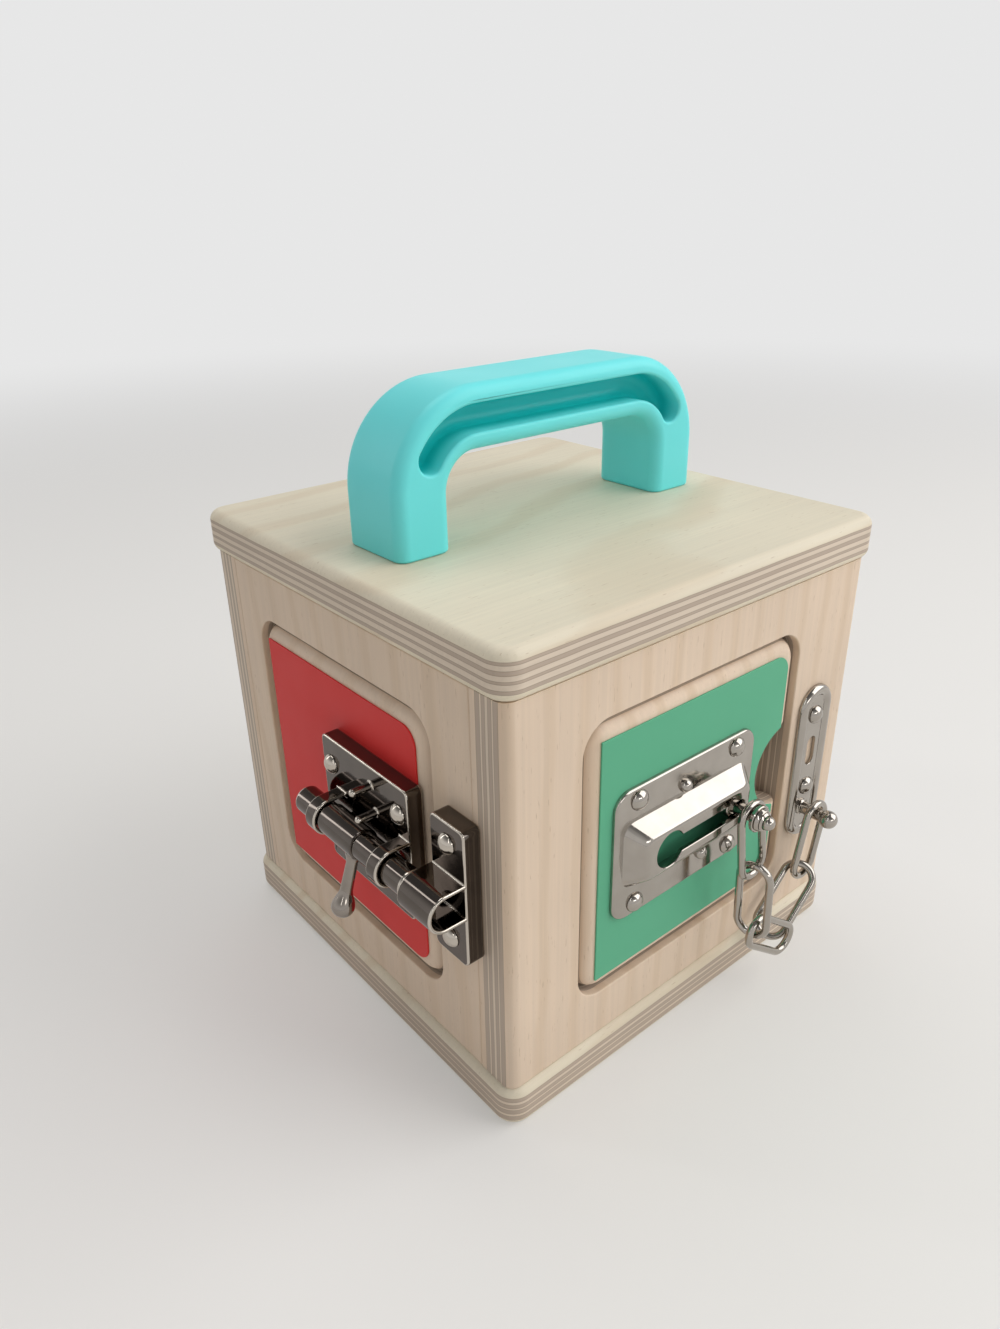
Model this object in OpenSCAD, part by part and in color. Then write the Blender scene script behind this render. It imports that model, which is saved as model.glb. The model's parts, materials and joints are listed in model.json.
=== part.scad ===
// Wooden lock box toy: a plywood box with a carrying handle and a door on each side.
// Every door has its own lock. The origin is the middle of the underside and +Z is up.
// The green door faces -Y, the red door -X, the yellow door +Y and the blue door +X.
// Each side is drawn as if it were the front: u runs to the right as seen from outside,
// n is the distance out from the middle of the box, and z is the height.

/* [Box] */
// Width and depth of the top and bottom boards
box_w = 160; // [152:1:190]
// Thickness of the top and bottom boards
board_t = 14.5; // [12:0.5:18]
// Height of the walls between the two boards
wall_h = 130; // [124:1:160]
// Thickness of the walls
wall_t = 14; // [13:0.5:18]
// How far the boards stand out past the walls
overhang = 2; // [0.5:0.5:4]
// Corner radius of the boards, seen from above
board_corner_r = 7; // [5:0.5:12]
// Radius of the rounded edges of the boards
board_edge_r = 3.5; // [1:0.5:5]
// Radius of the upright outer corners of the walls
wall_corner_r = 4; // [1:0.5:6]
// Diameter of the hidden dowels
dowel_d = 6; // [4:0.5:8]
// Length of the hidden dowels
dowel_len = 20; // [12:1:22]

/* [Handle] */
// Length of the handle over its two legs
handle_l = 126; // [100:1:140]
// Height of the handle above the top board
handle_h = 47; // [40:1:60]
// Thickness of the handle in the plane of its arch
handle_band = 19; // [14:0.5:20]
// Width of the handle across its arch
handle_w = 28.5; // [20:0.5:32]
// Distance of the handle from the middle of the top board, towards the green door
handle_shift = 0.8; // [0:0.2:10]
// Outer radius of the two bends
handle_bend_r = 30; // [24:1:36]
// Radius of the rounded edges of the handle
handle_edge_r = 4; // [1:0.5:6]
// Width of the groove in each side of the handle
groove_w = 8.4; // [4:0.2:10]
// Depth of the groove
groove_d = 8; // [2:0.5:8.5]
// Diameter of the screws that hold the handle
handle_screw_d = 4; // [3:0.5:5]

/* [Doors] */
// Width of the door openings
open_w = 97; // [92:1:100]
// Height of the door openings
open_h = 97; // [90:1:110]
// Distance of the openings from the middle of the walls, towards the hinge
open_shift = 2.5; // [0:0.5:4]
// Corner radius of the openings
open_corner_r = 10; // [8:0.5:14]
// Gap between a door and its opening
door_gap = 1.5; // [1:0.1:2.5]
// Thickness of the doors
door_t = 10; // [8:0.5:11]
// Distance of the pivot pins from the hinge edge of the doors
pivot_inset = 12; // [11:0.5:16]
// Diameter of the pivot pins
pin_d = 3; // [2:0.5:4]
// Length of the pivot pins
pin_len = 16; // [10:1:20]
// Thickness of the coloured sheets
sheet_t = 0.6; // [0.3:0.1:1]
// Width of the bare wood round the sheets
sheet_margin = 5; // [4:0.5:9]
// Radius of the sheet corners on the side that opens
sheet_corner_r = 6; // [1:0.5:10]
// Width of the stop lip behind the edge that opens
lip_w = 4; // [2:0.5:8]
// Radius of the finger notch in the green door
notch_r = 15.5; // [12:0.5:16]

/* [Barrel bolt] */
// Width of the base plate
bolt_plate_w = 46; // [42:1:50]
// Height of the base plate and of the keeper
bolt_plate_h = 45.5; // [36:0.5:56]
// Depth of the bent edges of the two plates
bolt_pan_d = 5.5; // [4:0.5:8]
// Thickness of the sheet metal
bolt_metal_t = 1.2; // [0.8:0.1:1.6]
// Diameter of the rod
rod_d = 9; // [7:0.5:10]
// Width of the straps that hold the rod
strap_w = 5; // [3:0.5:6]
// Outer diameter of the turning sleeve on the rod
sleeve_d = 11; // [10.5:0.1:12]
// Distance from the rod's axis to the end of the lever knob
lever_len = 26; // [18:1:30]
// Diameter of the lever knob
knob_d = 7.4; // [6:0.2:9]
// Travel of the rod into the keeper
bolt_travel = 9.5; // [6:0.5:12]
// Width of the keeper
keeper_w = 15; // [13:0.5:18]
// Height of the bolt above the middle of the door
bolt_rise = 2.5; // [0:0.5:6]

/* [Door chain] */
// Width of the slide plate
slide_w = 63; // [58:1:66]
// Height of the slide plate
slide_h = 45.5; // [42:0.5:56]
// Thickness of the sheet metal
slide_t = 1.4; // [1:0.1:2]
// Width of the foot of the raised box
raised_w = 56; // [52:1:58]
// Height of the foot of the raised box
raised_h = 23; // [21:0.5:28]
// How far the raised box stands out of the plate
raised_d = 5.8; // [5:0.2:8]
// How far the sides of the raised box slope in
raised_slope = 4.5; // [1:0.5:5]
// Width of the narrow part of the slot
slot_w = 6; // [5:0.2:7]
// Diameter of the entry hole of the slot
entry_d = 12; // [11:0.5:13]
// Travel of the stud along the slot
stud_travel = 32; // [20:1:32]
// Diameter of the neck of the stud and of the anchor post
neck_d = 4.4; // [3:0.2:4.8]
// Diameter of the wire of the chain links
wire_d = 2.6; // [2:0.1:2.8]
// Length of a chain link
link_len = 31; // [28:0.5:32]
// Width of a chain link
link_w = 13; // [12:0.5:14]
// Width of the anchor plate
anchor_w = 17; // [14:0.5:18]
// Length of the anchor plate
anchor_l = 60; // [56:1:64]

/* [Flat bolt] */
// Width of the sliding bar
bar_w = 9; // [6:0.5:12]
// Thickness of the sliding bar
bar_t = 3; // [2:0.5:4]
// Travel of the bar into its keeper
bar_travel = 10; // [5:0.5:10]

/* [Turn button] */
// Length of the turn button
button_l = 38; // [34:1:42]
// Width of the turn button
button_w = 13; // [10:0.5:15]
// Thickness of the turn button
button_t = 2.8; // [2:0.2:4]
// Diameter of the pull knob
pull_d = 16; // [12:0.5:20]

/* [Screws] */
// Diameter of the screw heads
head_d = 6.6; // [5:0.2:7]
// Height of the domed screw heads
head_h = 2.2; // [1.4:0.2:3]
// Diameter of the screw shanks
shank_d = 2.8; // [2:0.1:3.2]
// Length of the screws in the wood
shank_len = 8; // [4:0.5:8]

/* [Fits] */
// Play of a piece that is fixed in its hole
fix_play = 0.05; // [0.02:0.01:0.1]
// Play of a pin that turns in its hole
turn_play = 0.1; // [0.05:0.01:0.15]
// Play of a piece that slides in a guide
slide_play = 0.4; // [0.3:0.05:0.6]

/* [Hidden] */
$fn = 48;
e = 0.01;

// Where the sides look
front = 0;
left = -90;
back = 180;
right = 90;

// The box
face_n = box_w / 2 - overhang;
box_h = wall_h + 2 * board_t;
mid_z = box_h / 2;
dowel_reach = (face_n - wall_t) * 0.72;

// The doors
open_left = -open_shift - open_w / 2;
open_right = open_left + open_w;
door_w = open_w - 2 * door_gap;
door_h = open_h - 2 * door_gap;
door_corner_r = open_corner_r - door_gap;
door_z = mid_z - door_h / 2;
pivot_u = open_left + door_gap + pivot_inset;
pivot_n = face_n - door_t / 2;
lip_gap = 0.6;
skin_n = face_n + sheet_t;
notch_u = open_right - door_gap - 1;

// The handle
leg_u = (handle_l - handle_band) / 2;
bend_u = handle_l / 2 - handle_bend_r;
bend_z = box_h + handle_h - handle_bend_r;
bend_mid_r = handle_bend_r - handle_band / 2;
groove_end_angle = 33;
groove_end_ease = 0.05;
handle_screw_grip = 16;

// The barrel bolt
rod_r = rod_d / 2;
bolt_z = mid_z + bolt_rise;
bolt_front_n = face_n + sheet_t + bolt_pan_d;
loop_r = rod_r + slide_play;
rod_lift = 1.3;
rod_n = bolt_front_n + loop_r + rod_lift;
bolt_edge = 4;
bolt_plate_u = open_right - bolt_edge - bolt_plate_w;
strap_inset = 7;
strap_left_u = bolt_plate_u + strap_inset;
strap_right_u = bolt_plate_u + bolt_plate_w - strap_w;
bolt_end_gap = 0.6;
keeper_gap = 6.7;
keeper_u = open_right + keeper_gap;
rod_tip_u = keeper_u - bolt_end_gap;
rod_tail = 11;
rod_tail_u = strap_left_u - rod_tail;
core_step = 0.9;
core_r = rod_r - core_step;
sleeve_gap = 0.5;
sleeve_u = strap_left_u + strap_w + sleeve_gap;
sleeve_len = strap_right_u - sleeve_u - bolt_travel - sleeve_gap;
sleeve_end_play = 0.15;
lever_inset = 4;
lever_u = sleeve_u + sleeve_len - lever_inset;
lever_lean = 18;
lever_stem_r = 1.7;
lever_foot_r = 3.4;
lever_swell = 9;
lever_rim = 1.6;
bolt_corner_r = 2;
bolt_screw_u = 4.8;
bolt_screw_z = 13.4;
keeper_screw_z = 15.9;
peg_r = 1.3;
peg_len = 6.5;
// Place of each peg from the lever and from the sleeve
peg_offsets = [[0, 9.4], [2, 1]];
pegs = [for (p = peg_offsets) [lever_u + p[0], sleeve_d / 2 + peg_r + p[1]]];

// The door chain
slide_u = -8;
slide_front_n = skin_n + slide_t;
raised_front_n = slide_front_n + raised_d;
slide_corner_r = 6;
slide_screw_inset = [9.5, 4.4];
slide_screw_u = slide_w / 2 - slide_screw_inset[0];
slide_screw_z = slide_h / 2 - slide_screw_inset[1];
// The walls of the raised box slope in by this much for each millimetre, and are this thick along the plate
slope_rate = raised_slope / raised_d;
slope_wall_t = slide_t * sqrt(1 + slope_rate * slope_rate);
bump_r = 2.2;
bump_gap = 1;
// Places of the upper and the lower bump from the middle of the plate
bump_us = [-2, 8];
stud_u = 10.5;
wire_r = wire_d / 2;
link_arm = link_len - wire_d;
link_r = (link_w - wire_d) / 2;
link_play = 0.3;
link_slack = 1.4;
link_lift = wire_d + link_slack;
hang_rise = neck_d / 2 + link_play + wire_r;
stud_gap = 2.1;
flange_gap = 0.6;
stud_link_n = raised_front_n + stud_gap + wire_d;
flange_n = stud_link_n + wire_r + flange_gap;
stud_head_d = 8;
stud_head_t = 1.8;
// Steps of the stud from its flange outwards: lower diameter, upper diameter and height
stud_steps = [[9, 9, 1.4], [7.6, 7, 1.4], [6.2, 5.4, 1.2]];
stud_ball_d = 4.6;
function step_top(i) = i < 0 ? 0 : step_top(i - 1) + stud_steps[i][2];
anchor_gap = 12;
anchor_u = open_right + anchor_gap;
anchor_drop = 5.5;
anchor_z = mid_z - anchor_drop;
anchor_base_t = 1.4;
anchor_edge = 1;
anchor_rim_h = 2.4;
anchor_rim_w = 2.6;
anchor_slot = [4.6, 11];
// Distances of the two screws and of the post from the top of the anchor plate
anchor_screw_drop = [11, 39.5];
anchor_screw_z = [for (d = anchor_screw_drop) anchor_l / 2 - d];
post_drop = 47.5;
post_shift = 1.5;
post_u = anchor_u - post_shift;
post_z = anchor_z + anchor_l / 2 - post_drop;
post_reach = 5;
post_link_n = face_n + anchor_base_t + post_reach + wire_r;
post_ball_d = 6.4;
ball_gap = 0.5;

// Lean of each link from straight down, to the right
lean_1 = 8.5;
lean_2 = 3;
lean_3 = 52;
lean_4 = -46;
lean_5 = -12;
// Turn of the second and of the fourth link out of the plane of the others
turn_2 = 80;
turn_4 = 60;
function along(lean) = [sin(lean), -cos(lean)];
function link_end(start, lean) = start + link_arm * along(lean);
function next_start(end, lean_a, lean_b) = end - link_lift * along((lean_a + lean_b) / 2);
link_1 = [stud_u, mid_z] - hang_rise * along(lean_1);
link_2 = next_start(link_end(link_1, lean_1), lean_1, lean_2);
link_3 = next_start(link_end(link_2, lean_2), lean_2, lean_3);
link_5 = [post_u, post_z] - hang_rise * along(lean_5);
link_4 = next_start(link_end(link_5, lean_5), lean_5, lean_4);
link_5_n = post_link_n;
chain_gap = 0.3;
turn_reach = link_r * sin(turn_4) + wire_r;
link_4_n = face_n + overhang + chain_gap + turn_reach;
link_3_n = link_4_n + turn_reach + chain_gap + wire_r;
link_1_n = stud_link_n;
link_2_n = (link_1_n + link_3_n) / 2;

// The flat bolt
flat_edge = 6;
flat_w = 36;
flat_h = 28;
flat_t = 1.6;
flat_corner_r = 3;
flat_u = open_right - flat_edge - flat_w;
flat_front_n = skin_n + flat_t;
bar_n = flat_front_n + slide_play;
bridge_w = 4;
bridge_t = 1.4;
bridge_inset = 4;
bridge_u = [flat_u + bridge_inset, flat_u + flat_w - bridge_inset - bridge_w];
flat_keeper_gap = 6.5;
flat_keeper_u = open_right + flat_keeper_gap;
flat_keeper_w = 13;
bar_end_gap = 1;
bar_tip_u = flat_keeper_u - bar_end_gap;
bar_tail = 2;
bar_tail_u = flat_u - bar_tail;
bar_knob_d = 8.5;
bar_knob_neck_d = 5.1;
// Heights above the bar where the knob starts to widen, is at its widest and ends
bar_knob_h = [3, 5, 8];
bar_stop_gap = 0.5;
bar_knob_u = bridge_u[1] - bar_knob_d / 2 - bar_stop_gap - bar_travel;
flat_screw_inset = [3.6, 4.4];
flat_screw_u = flat_w / 2 - flat_screw_inset[0];
flat_screw_z = flat_h / 2 - flat_screw_inset[1];

// The turn button
button_gap = 11;
button_u = open_right + button_gap;
button_lift = 2.5;
button_n = face_n + button_lift;
button_pin_r = 2.5;
button_rib_t = 3;
button_rib_h = 5;
button_rib_inset = 8;
washer_w = 3.5;
washer_gap = 0.3;
post_cap_w = 2.5;
post_cap_h = 2.2;

// The pull knob
pull_edge = 21.5;
pull_u = open_right - pull_edge;
pull_foot_d = 12;
pull_neck_d = 8;
pull_top_d = 11.2;
// Heights above the sheet of the foot, the start of the cap, its rim and its top
pull_h = [4, 7, 11, 14];

// Colours
birch = "#d9c7a4";
birch_edge = "#c7ae86";
steel = "#b8b6b2";
nickel = "#c9c6c0";
black_nickel = "#3a3634";
turquoise = "#5cc8b5";

// Puts a drawing on a side of the box
module side(turn) {
    rotate([0, 0, turn]) children();
}

// Turns +Z to point out of the side at u and z, starting at the distance n
module outward(u, z, n) {
    translate([u, -n, z]) rotate([90, 0, 0]) children();
}

// Draws a shape in n and z, w wide, starting at u
module across(u, w) {
    translate([u + w, 0, 0]) rotate([0, 0, -90]) rotate([90, 0, 0]) linear_extrude(w) children();
}

// A rectangle with round corners about the middle
module round_rect(w, h, r) {
    square([w - 2 * r, h], center = true);
    square([w, h - 2 * r], center = true);
    for (x = [-1, 1], y = [-1, 1]) translate([x * (w / 2 - r), y * (h / 2 - r)]) circle(r);
}

// A long hole with round ends, standing upright
module stadium(w, h) {
    square([w, h - w], center = true);
    for (y = [-1, 1]) translate([0, y * (h - w) / 2]) circle(w / 2);
}

// The edge of a board from its corner centre out, with rounded edges
module edge_profile(t, corner, edge) {
    intersection() {
        square([corner, t]);
        union() {
            square([corner - edge, t]);
            if (t > 2 * edge + e) translate([0, edge]) square([corner, t - 2 * edge]);
            for (y = [edge, t - edge]) translate([corner - edge, y]) circle(edge);
        }
    }
}

// A flat board with round corners and rounded edges
module board(w, d, t, corner, edge) {
    inner_w = w - 2 * corner;
    inner_d = d - 2 * corner;
    translate([-inner_w / 2, -inner_d / 2, 0]) cube([inner_w, inner_d, t]);
    for (k = [0, 1]) {
        run = k == 0 ? inner_d : inner_w;
        reach = k == 0 ? inner_w : inner_d;
        for (half = [0, 180]) rotate([0, 0, 90 * k + half])
            translate([reach / 2, run / 2, 0]) rotate([90, 0, 0])
                linear_extrude(run) edge_profile(t, corner, edge);
    }
    for (x = [0, 1], y = [0, 1]) mirror([x, 0, 0]) mirror([0, y, 0])
        translate([inner_w / 2, inner_d / 2, 0])
            rotate_extrude(angle = 90) edge_profile(t, corner, edge);
}

// A domed wood screw that sits on n, with its shank through the air and wood behind it
module dome_screw(u, z, n, wood_n) {
    cap_r = (head_d * head_d / 4 + head_h * head_h) / (2 * head_h);
    outward(u, z, n) rotate_extrude() intersection() {
        translate([0, head_h - cap_r]) circle(cap_r);
        square([head_d / 2, head_h]);
    }
    outward(u, z, wood_n - shank_len) cylinder(d = shank_d, h = n - wood_n + shank_len + e);
}

// The hole that a screw of that length needs, open towards the outside
module screw_hole(u, z, n, wood_n) {
    outward(u, z, wood_n - shank_len)
        cylinder(d = shank_d + 2 * fix_play, h = n - wood_n + shank_len + 1);
}

// Places of the screws of each plate, as u and z
function corners(u, z, du, dz) = [for (x = [-1, 1], y = [-1, 1]) [u + x * du, z + y * dz]];
bolt_mid_u = bolt_plate_u + bolt_plate_w / 2;
bolt_screws = corners(bolt_mid_u, bolt_z, bolt_plate_w / 2 - bolt_screw_u, bolt_screw_z);
keeper_spots = [for (y = [-1, 1]) [keeper_u + keeper_w / 2, bolt_z + y * keeper_screw_z]];
slide_screws = corners(slide_u, mid_z, slide_screw_u, slide_screw_z);
anchor_spots = [for (z = anchor_screw_z) [anchor_u, anchor_z + z]];
flat_screws = corners(flat_u + flat_w / 2, mid_z, flat_screw_u, flat_screw_z);
flat_keeper_spots = [for (y = [-1, 1]) [flat_keeper_u + flat_keeper_w / 2, mid_z + y * flat_screw_z]];

// The box

module dowel_spots() {
    for (turn = [front, left, back, right]) side(turn)
        for (u = [-dowel_reach, dowel_reach]) translate([u, -(face_n - wall_t / 2), 0]) children();
}

module dowel_holes() {
    dowel_spots() for (z = [board_t, board_t + wall_h])
        translate([0, 0, z]) cylinder(d = dowel_d + 2 * fix_play, h = dowel_len + 1, center = true);
}

module bottom_board() {
    color(birch) difference() {
        board(box_w, box_w, board_t, board_corner_r, board_edge_r);
        dowel_holes();
    }
}

module top_board() {
    color(birch) difference() {
        translate([0, 0, board_t + wall_h]) board(box_w, box_w, board_t, board_corner_r, board_edge_r);
        dowel_holes();
        for (x = [-leg_u, leg_u]) translate([x, -handle_shift, box_h - board_t - 1])
            cylinder(d = handle_screw_d + 2 * turn_play, h = board_t + 2);
    }
}

// The doorway and the pivot holes that every wall has
module doorway() {
    outward(-open_shift, mid_z, face_n - door_t - lip_gap)
        linear_extrude(wall_t) round_rect(open_w, open_h, open_corner_r);
    outward(-open_shift - lip_w / 2, mid_z, face_n - wall_t - 1)
        linear_extrude(wall_t) round_rect(open_w - lip_w, open_h, open_corner_r);
    pin_hole = pin_len / 2 + 1;
    translate([pivot_u, -pivot_n, mid_z - open_h / 2 - pin_hole])
        cylinder(d = pin_d + 2 * turn_play, h = open_h + 2 * pin_hole);
}

// A wall over the full width of the box, with round outer corners
module full_wall() {
    r = wall_corner_r;
    difference() {
        translate([0, 0, board_t]) linear_extrude(wall_h) {
            translate([-face_n, r - face_n]) square([2 * face_n, wall_t - r]);
            translate([r - face_n, -face_n]) square([2 * (face_n - r), wall_t]);
            for (x = [-1, 1]) translate([x * (face_n - r), r - face_n]) circle(r);
        }
        doorway();
    }
}

// A wall that fits between the two full walls
module inset_wall() {
    run = 2 * (face_n - wall_t);
    difference() {
        translate([-run / 2, -face_n, board_t]) cube([run, wall_t, wall_h]);
        doorway();
    }
}

// Holes near a corner are cut from both walls that meet there
module keeper_holes() {
    side(left) for (p = keeper_spots) screw_hole(p[0], p[1], face_n, face_n);
}

module turn_post_hole() {
    side(right) outward(button_u, mid_z, face_n - shank_len)
        cylinder(r = button_pin_r + fix_play, h = wall_t);
}

module front_wall() {
    color(birch) difference() {
        full_wall();
        dowel_holes();
        keeper_holes();
        for (p = anchor_spots) screw_hole(p[0], p[1], face_n, face_n);
        outward(post_u, post_z, face_n - shank_len) cylinder(d = neck_d + 2 * fix_play, h = wall_t);
    }
}

module back_wall() {
    color(birch) difference() {
        side(back) full_wall();
        dowel_holes();
        turn_post_hole();
        side(back) for (p = flat_keeper_spots) screw_hole(p[0], p[1], face_n, face_n);
    }
}

module left_wall() {
    color(birch) difference() {
        side(left) inset_wall();
        dowel_holes();
        keeper_holes();
    }
}

module right_wall() {
    color(birch) difference() {
        side(right) inset_wall();
        dowel_holes();
        turn_post_hole();
    }
}

module wall_dowels() {
    color(birch_edge) dowel_spots() for (z = [board_t, board_t + wall_h])
        translate([0, 0, z]) cylinder(d = dowel_d, h = dowel_len, center = true);
}

// The handle: two legs, two bends and a bar of one section, with a groove along both sides

module handle_section() {
    round_rect(handle_band, handle_w, handle_edge_r);
}

// The groove seen from the side: along the bar and most of both bends, with round ends a hair wider
module groove_outline() {
    r = groove_w / 2;
    far = 2 * handle_bend_r;
    translate([-bend_u, bend_mid_r - r]) square([2 * bend_u, groove_w]);
    for (x = [0, 1]) mirror([x, 0]) translate([bend_u, 0]) {
        intersection() {
            difference() {
                circle(bend_mid_r + r);
                circle(bend_mid_r - r);
            }
            polygon([[0, 0], far * [cos(groove_end_angle), sin(groove_end_angle)], [far, far], [0, far]]);
        }
        rotate(groove_end_angle) translate([bend_mid_r, 0]) circle(r + groove_end_ease);
    }
}

// One side groove
module handle_groove() {
    translate([0, handle_w, bend_z]) rotate([90, 0, 0])
        linear_extrude(handle_w / 2 + groove_d) groove_outline();
}

module handle() {
    color(turquoise) translate([0, -handle_shift, 0]) difference() {
        union() {
            for (x = [-leg_u, leg_u]) translate([x, 0, box_h])
                linear_extrude(handle_h - handle_bend_r) handle_section();
            for (x = [0, 1]) mirror([x, 0, 0]) translate([bend_u, 0, bend_z])
                rotate([90, 0, 0]) rotate_extrude(angle = 90)
                    translate([bend_mid_r, 0]) handle_section();
            translate([-bend_u, 0, bend_z + bend_mid_r]) rotate([0, 90, 0])
                linear_extrude(2 * bend_u) handle_section();
        }
        for (y = [0, 1]) mirror([0, y, 0]) handle_groove();
        for (x = [-leg_u, leg_u]) translate([x, 0, box_h - 1])
            cylinder(d = handle_screw_d + 2 * fix_play, h = handle_screw_grip + 2);
    }
}

module handle_screws() {
    color(steel) for (x = [-leg_u, leg_u]) translate([x, -handle_shift, box_h - board_t]) {
        cylinder(d = handle_screw_d, h = board_t + handle_screw_grip);
        mirror([0, 0, 1]) cylinder(d1 = 2 * handle_screw_d, d2 = 1.4 * handle_screw_d, h = head_h);
    }
}

// The doors

module door_panel(screws) {
    difference() {
        outward(-open_shift, mid_z, face_n - door_t) board(door_w, door_h, door_t, door_corner_r, door_t / 2);
        translate([pivot_u, -pivot_n, door_z - 1]) cylinder(d = pin_d + 2 * fix_play, h = pin_len / 2 + 1);
        translate([pivot_u, -pivot_n, door_z + door_h - pin_len / 2])
            cylinder(d = pin_d + 2 * fix_play, h = pin_len / 2 + 1);
        for (p = screws) screw_hole(p[0], p[1], face_n, face_n);
    }
}

// The sheet is square at the hinge and round on the side that opens
module door_sheet(screws) {
    w = door_w - 2 * sheet_margin;
    h = door_h - 2 * sheet_margin;
    difference() {
        outward(-open_shift, mid_z, face_n) linear_extrude(sheet_t) {
            round_rect(w, h, sheet_corner_r);
            translate([-w / 2, -h / 2]) square([w / 2, h]);
        }
        for (p = screws) screw_hole(p[0], p[1], skin_n, face_n);
    }
}

module pivot_pins() {
    for (z = [door_z - door_gap / 2 - e, door_z + door_h + door_gap / 2 + e])
        translate([pivot_u, -pivot_n, z]) cylinder(d = pin_d, h = pin_len, center = true);
}

module red_door_panel() {
    color(birch) side(left) door_panel(bolt_screws);
}

module red_sheet() {
    color("#a83a38") side(left) door_sheet(bolt_screws);
}

module red_pivot_pins() {
    color(steel) side(left) pivot_pins();
}

// A round bite out of the edge that opens, to pull the door by
module finger_notch() {
    outward(notch_u, mid_z, face_n - door_t - 1) cylinder(r = notch_r, h = door_t + 3);
}

module green_door_panel() {
    color(birch) side(front) difference() {
        door_panel(slide_screws);
        finger_notch();
    }
}

module green_sheet() {
    color("#62a887") side(front) difference() {
        door_sheet(slide_screws);
        finger_notch();
    }
}

module green_pivot_pins() {
    color(steel) side(front) pivot_pins();
}

module yellow_door_panel() {
    color(birch) side(back) door_panel(flat_screws);
}

module yellow_sheet() {
    color("#d9b04a") side(back) door_sheet(flat_screws);
}

module yellow_pivot_pins() {
    color(steel) side(back) pivot_pins();
}

module blue_door_panel() {
    color(birch) side(right) door_panel([[pull_u, mid_z]]);
}

module blue_sheet() {
    color("#4a7fae") side(right) door_sheet([[pull_u, mid_z]]);
}

module blue_pivot_pins() {
    color(steel) side(right) pivot_pins();
}

// The barrel bolt

// A plate with its edges bent back to the wood
module pan(u, z, n, w, h, depth) {
    t = bolt_metal_t;
    difference() {
        outward(u, z, n) linear_extrude(depth) round_rect(w, h, bolt_corner_r);
        outward(u, z, n - 1) linear_extrude(depth - t + 1)
            round_rect(w - 2 * t, h - 2 * t, bolt_corner_r - t);
    }
}

// A strap that stands on a plate and goes round the rod
module strap(u, w, plate_n) {
    across(u, w) difference() {
        union() {
            translate([rod_n, bolt_z]) circle(loop_r + bolt_metal_t);
            translate([plate_n - e, bolt_z - loop_r - bolt_metal_t])
                square([rod_n - plate_n + e, 2 * (loop_r + bolt_metal_t)]);
        }
        translate([rod_n, bolt_z]) circle(loop_r);
        translate([plate_n - 1, bolt_z - loop_r]) square([rod_n - plate_n + 1, 2 * loop_r]);
    }
}

module bolt_plate() {
    color(black_nickel) side(left) difference() {
        union() {
            pan(bolt_mid_u, bolt_z, skin_n, bolt_plate_w, bolt_plate_h, bolt_pan_d);
            for (u = [strap_left_u, strap_right_u]) strap(u, strap_w, bolt_front_n);
            for (p = pegs) outward(p[0], bolt_z + p[1], bolt_front_n - bolt_metal_t / 2) {
                cylinder(r = peg_r, h = peg_len);
                translate([0, 0, peg_len]) sphere(r = peg_r);
            }
        }
        for (p = bolt_screws) screw_hole(p[0], p[1], bolt_front_n, face_n);
    }
}

module bolt_plate_screws() {
    color(steel) side(left) for (p = bolt_screws) dome_screw(p[0], p[1], bolt_front_n, face_n);
}

// The rod has a narrow core where the sleeve turns on it
module bolt_rod() {
    core_u = sleeve_u - sleeve_end_play;
    run = sleeve_len + 2 * sleeve_end_play;
    tail_taper = rod_r / 2;
    tip_taper = 1;
    color(black_nickel) side(left) translate([0, -rod_n, bolt_z]) rotate([0, 90, 0]) {
        translate([0, 0, rod_tail_u]) cylinder(r1 = rod_r / 2, r2 = rod_r, h = tail_taper);
        translate([0, 0, rod_tail_u + tail_taper]) cylinder(r = rod_r, h = core_u - rod_tail_u - tail_taper);
        translate([0, 0, core_u]) cylinder(r = core_r, h = run);
        translate([0, 0, core_u + run]) cylinder(r = rod_r, h = rod_tip_u - tip_taper - core_u - run);
        translate([0, 0, rod_tip_u - tip_taper])
            cylinder(r1 = rod_r, r2 = rod_r - 0.8 * tip_taper, h = tip_taper);
    }
}

// The sleeve and its lever: a stem that swells to a round knob
module bolt_lever() {
    knob_r = knob_d / 2;
    rim_z = lever_len - lever_rim;
    color(black_nickel) side(left) translate([0, -rod_n, bolt_z]) difference() {
        union() {
            translate([sleeve_u, 0, 0]) rotate([0, 90, 0]) cylinder(d = sleeve_d, h = sleeve_len);
            translate([lever_u, 0, 0]) rotate([-lever_lean, 0, 0]) mirror([0, 0, 1]) {
                cylinder(r1 = lever_foot_r, r2 = lever_stem_r, h = sleeve_d / 2 + lever_foot_r);
                cylinder(r = lever_stem_r, h = rim_z);
                translate([0, 0, rim_z - lever_swell])
                    cylinder(r1 = lever_stem_r, r2 = knob_r, h = lever_swell);
                translate([0, 0, rim_z]) cylinder(r1 = knob_r, r2 = knob_r - 0.7 * lever_rim, h = lever_rim);
            }
        }
        translate([sleeve_u - 1, 0, 0]) rotate([0, 90, 0])
            cylinder(r = core_r + turn_play, h = sleeve_len + 2);
    }
}

module keeper() {
    mid_u = keeper_u + keeper_w / 2;
    depth = bolt_front_n - face_n;
    color(black_nickel) side(left) difference() {
        union() {
            pan(mid_u, bolt_z, face_n, keeper_w, bolt_plate_h, depth);
            strap(keeper_u, keeper_w, bolt_front_n);
        }
        for (p = keeper_spots) screw_hole(p[0], p[1], bolt_front_n, face_n);
    }
}

module keeper_screws() {
    color(steel) side(left) for (p = keeper_spots) dome_screw(p[0], p[1], bolt_front_n, face_n);
}

// The door chain

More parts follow.
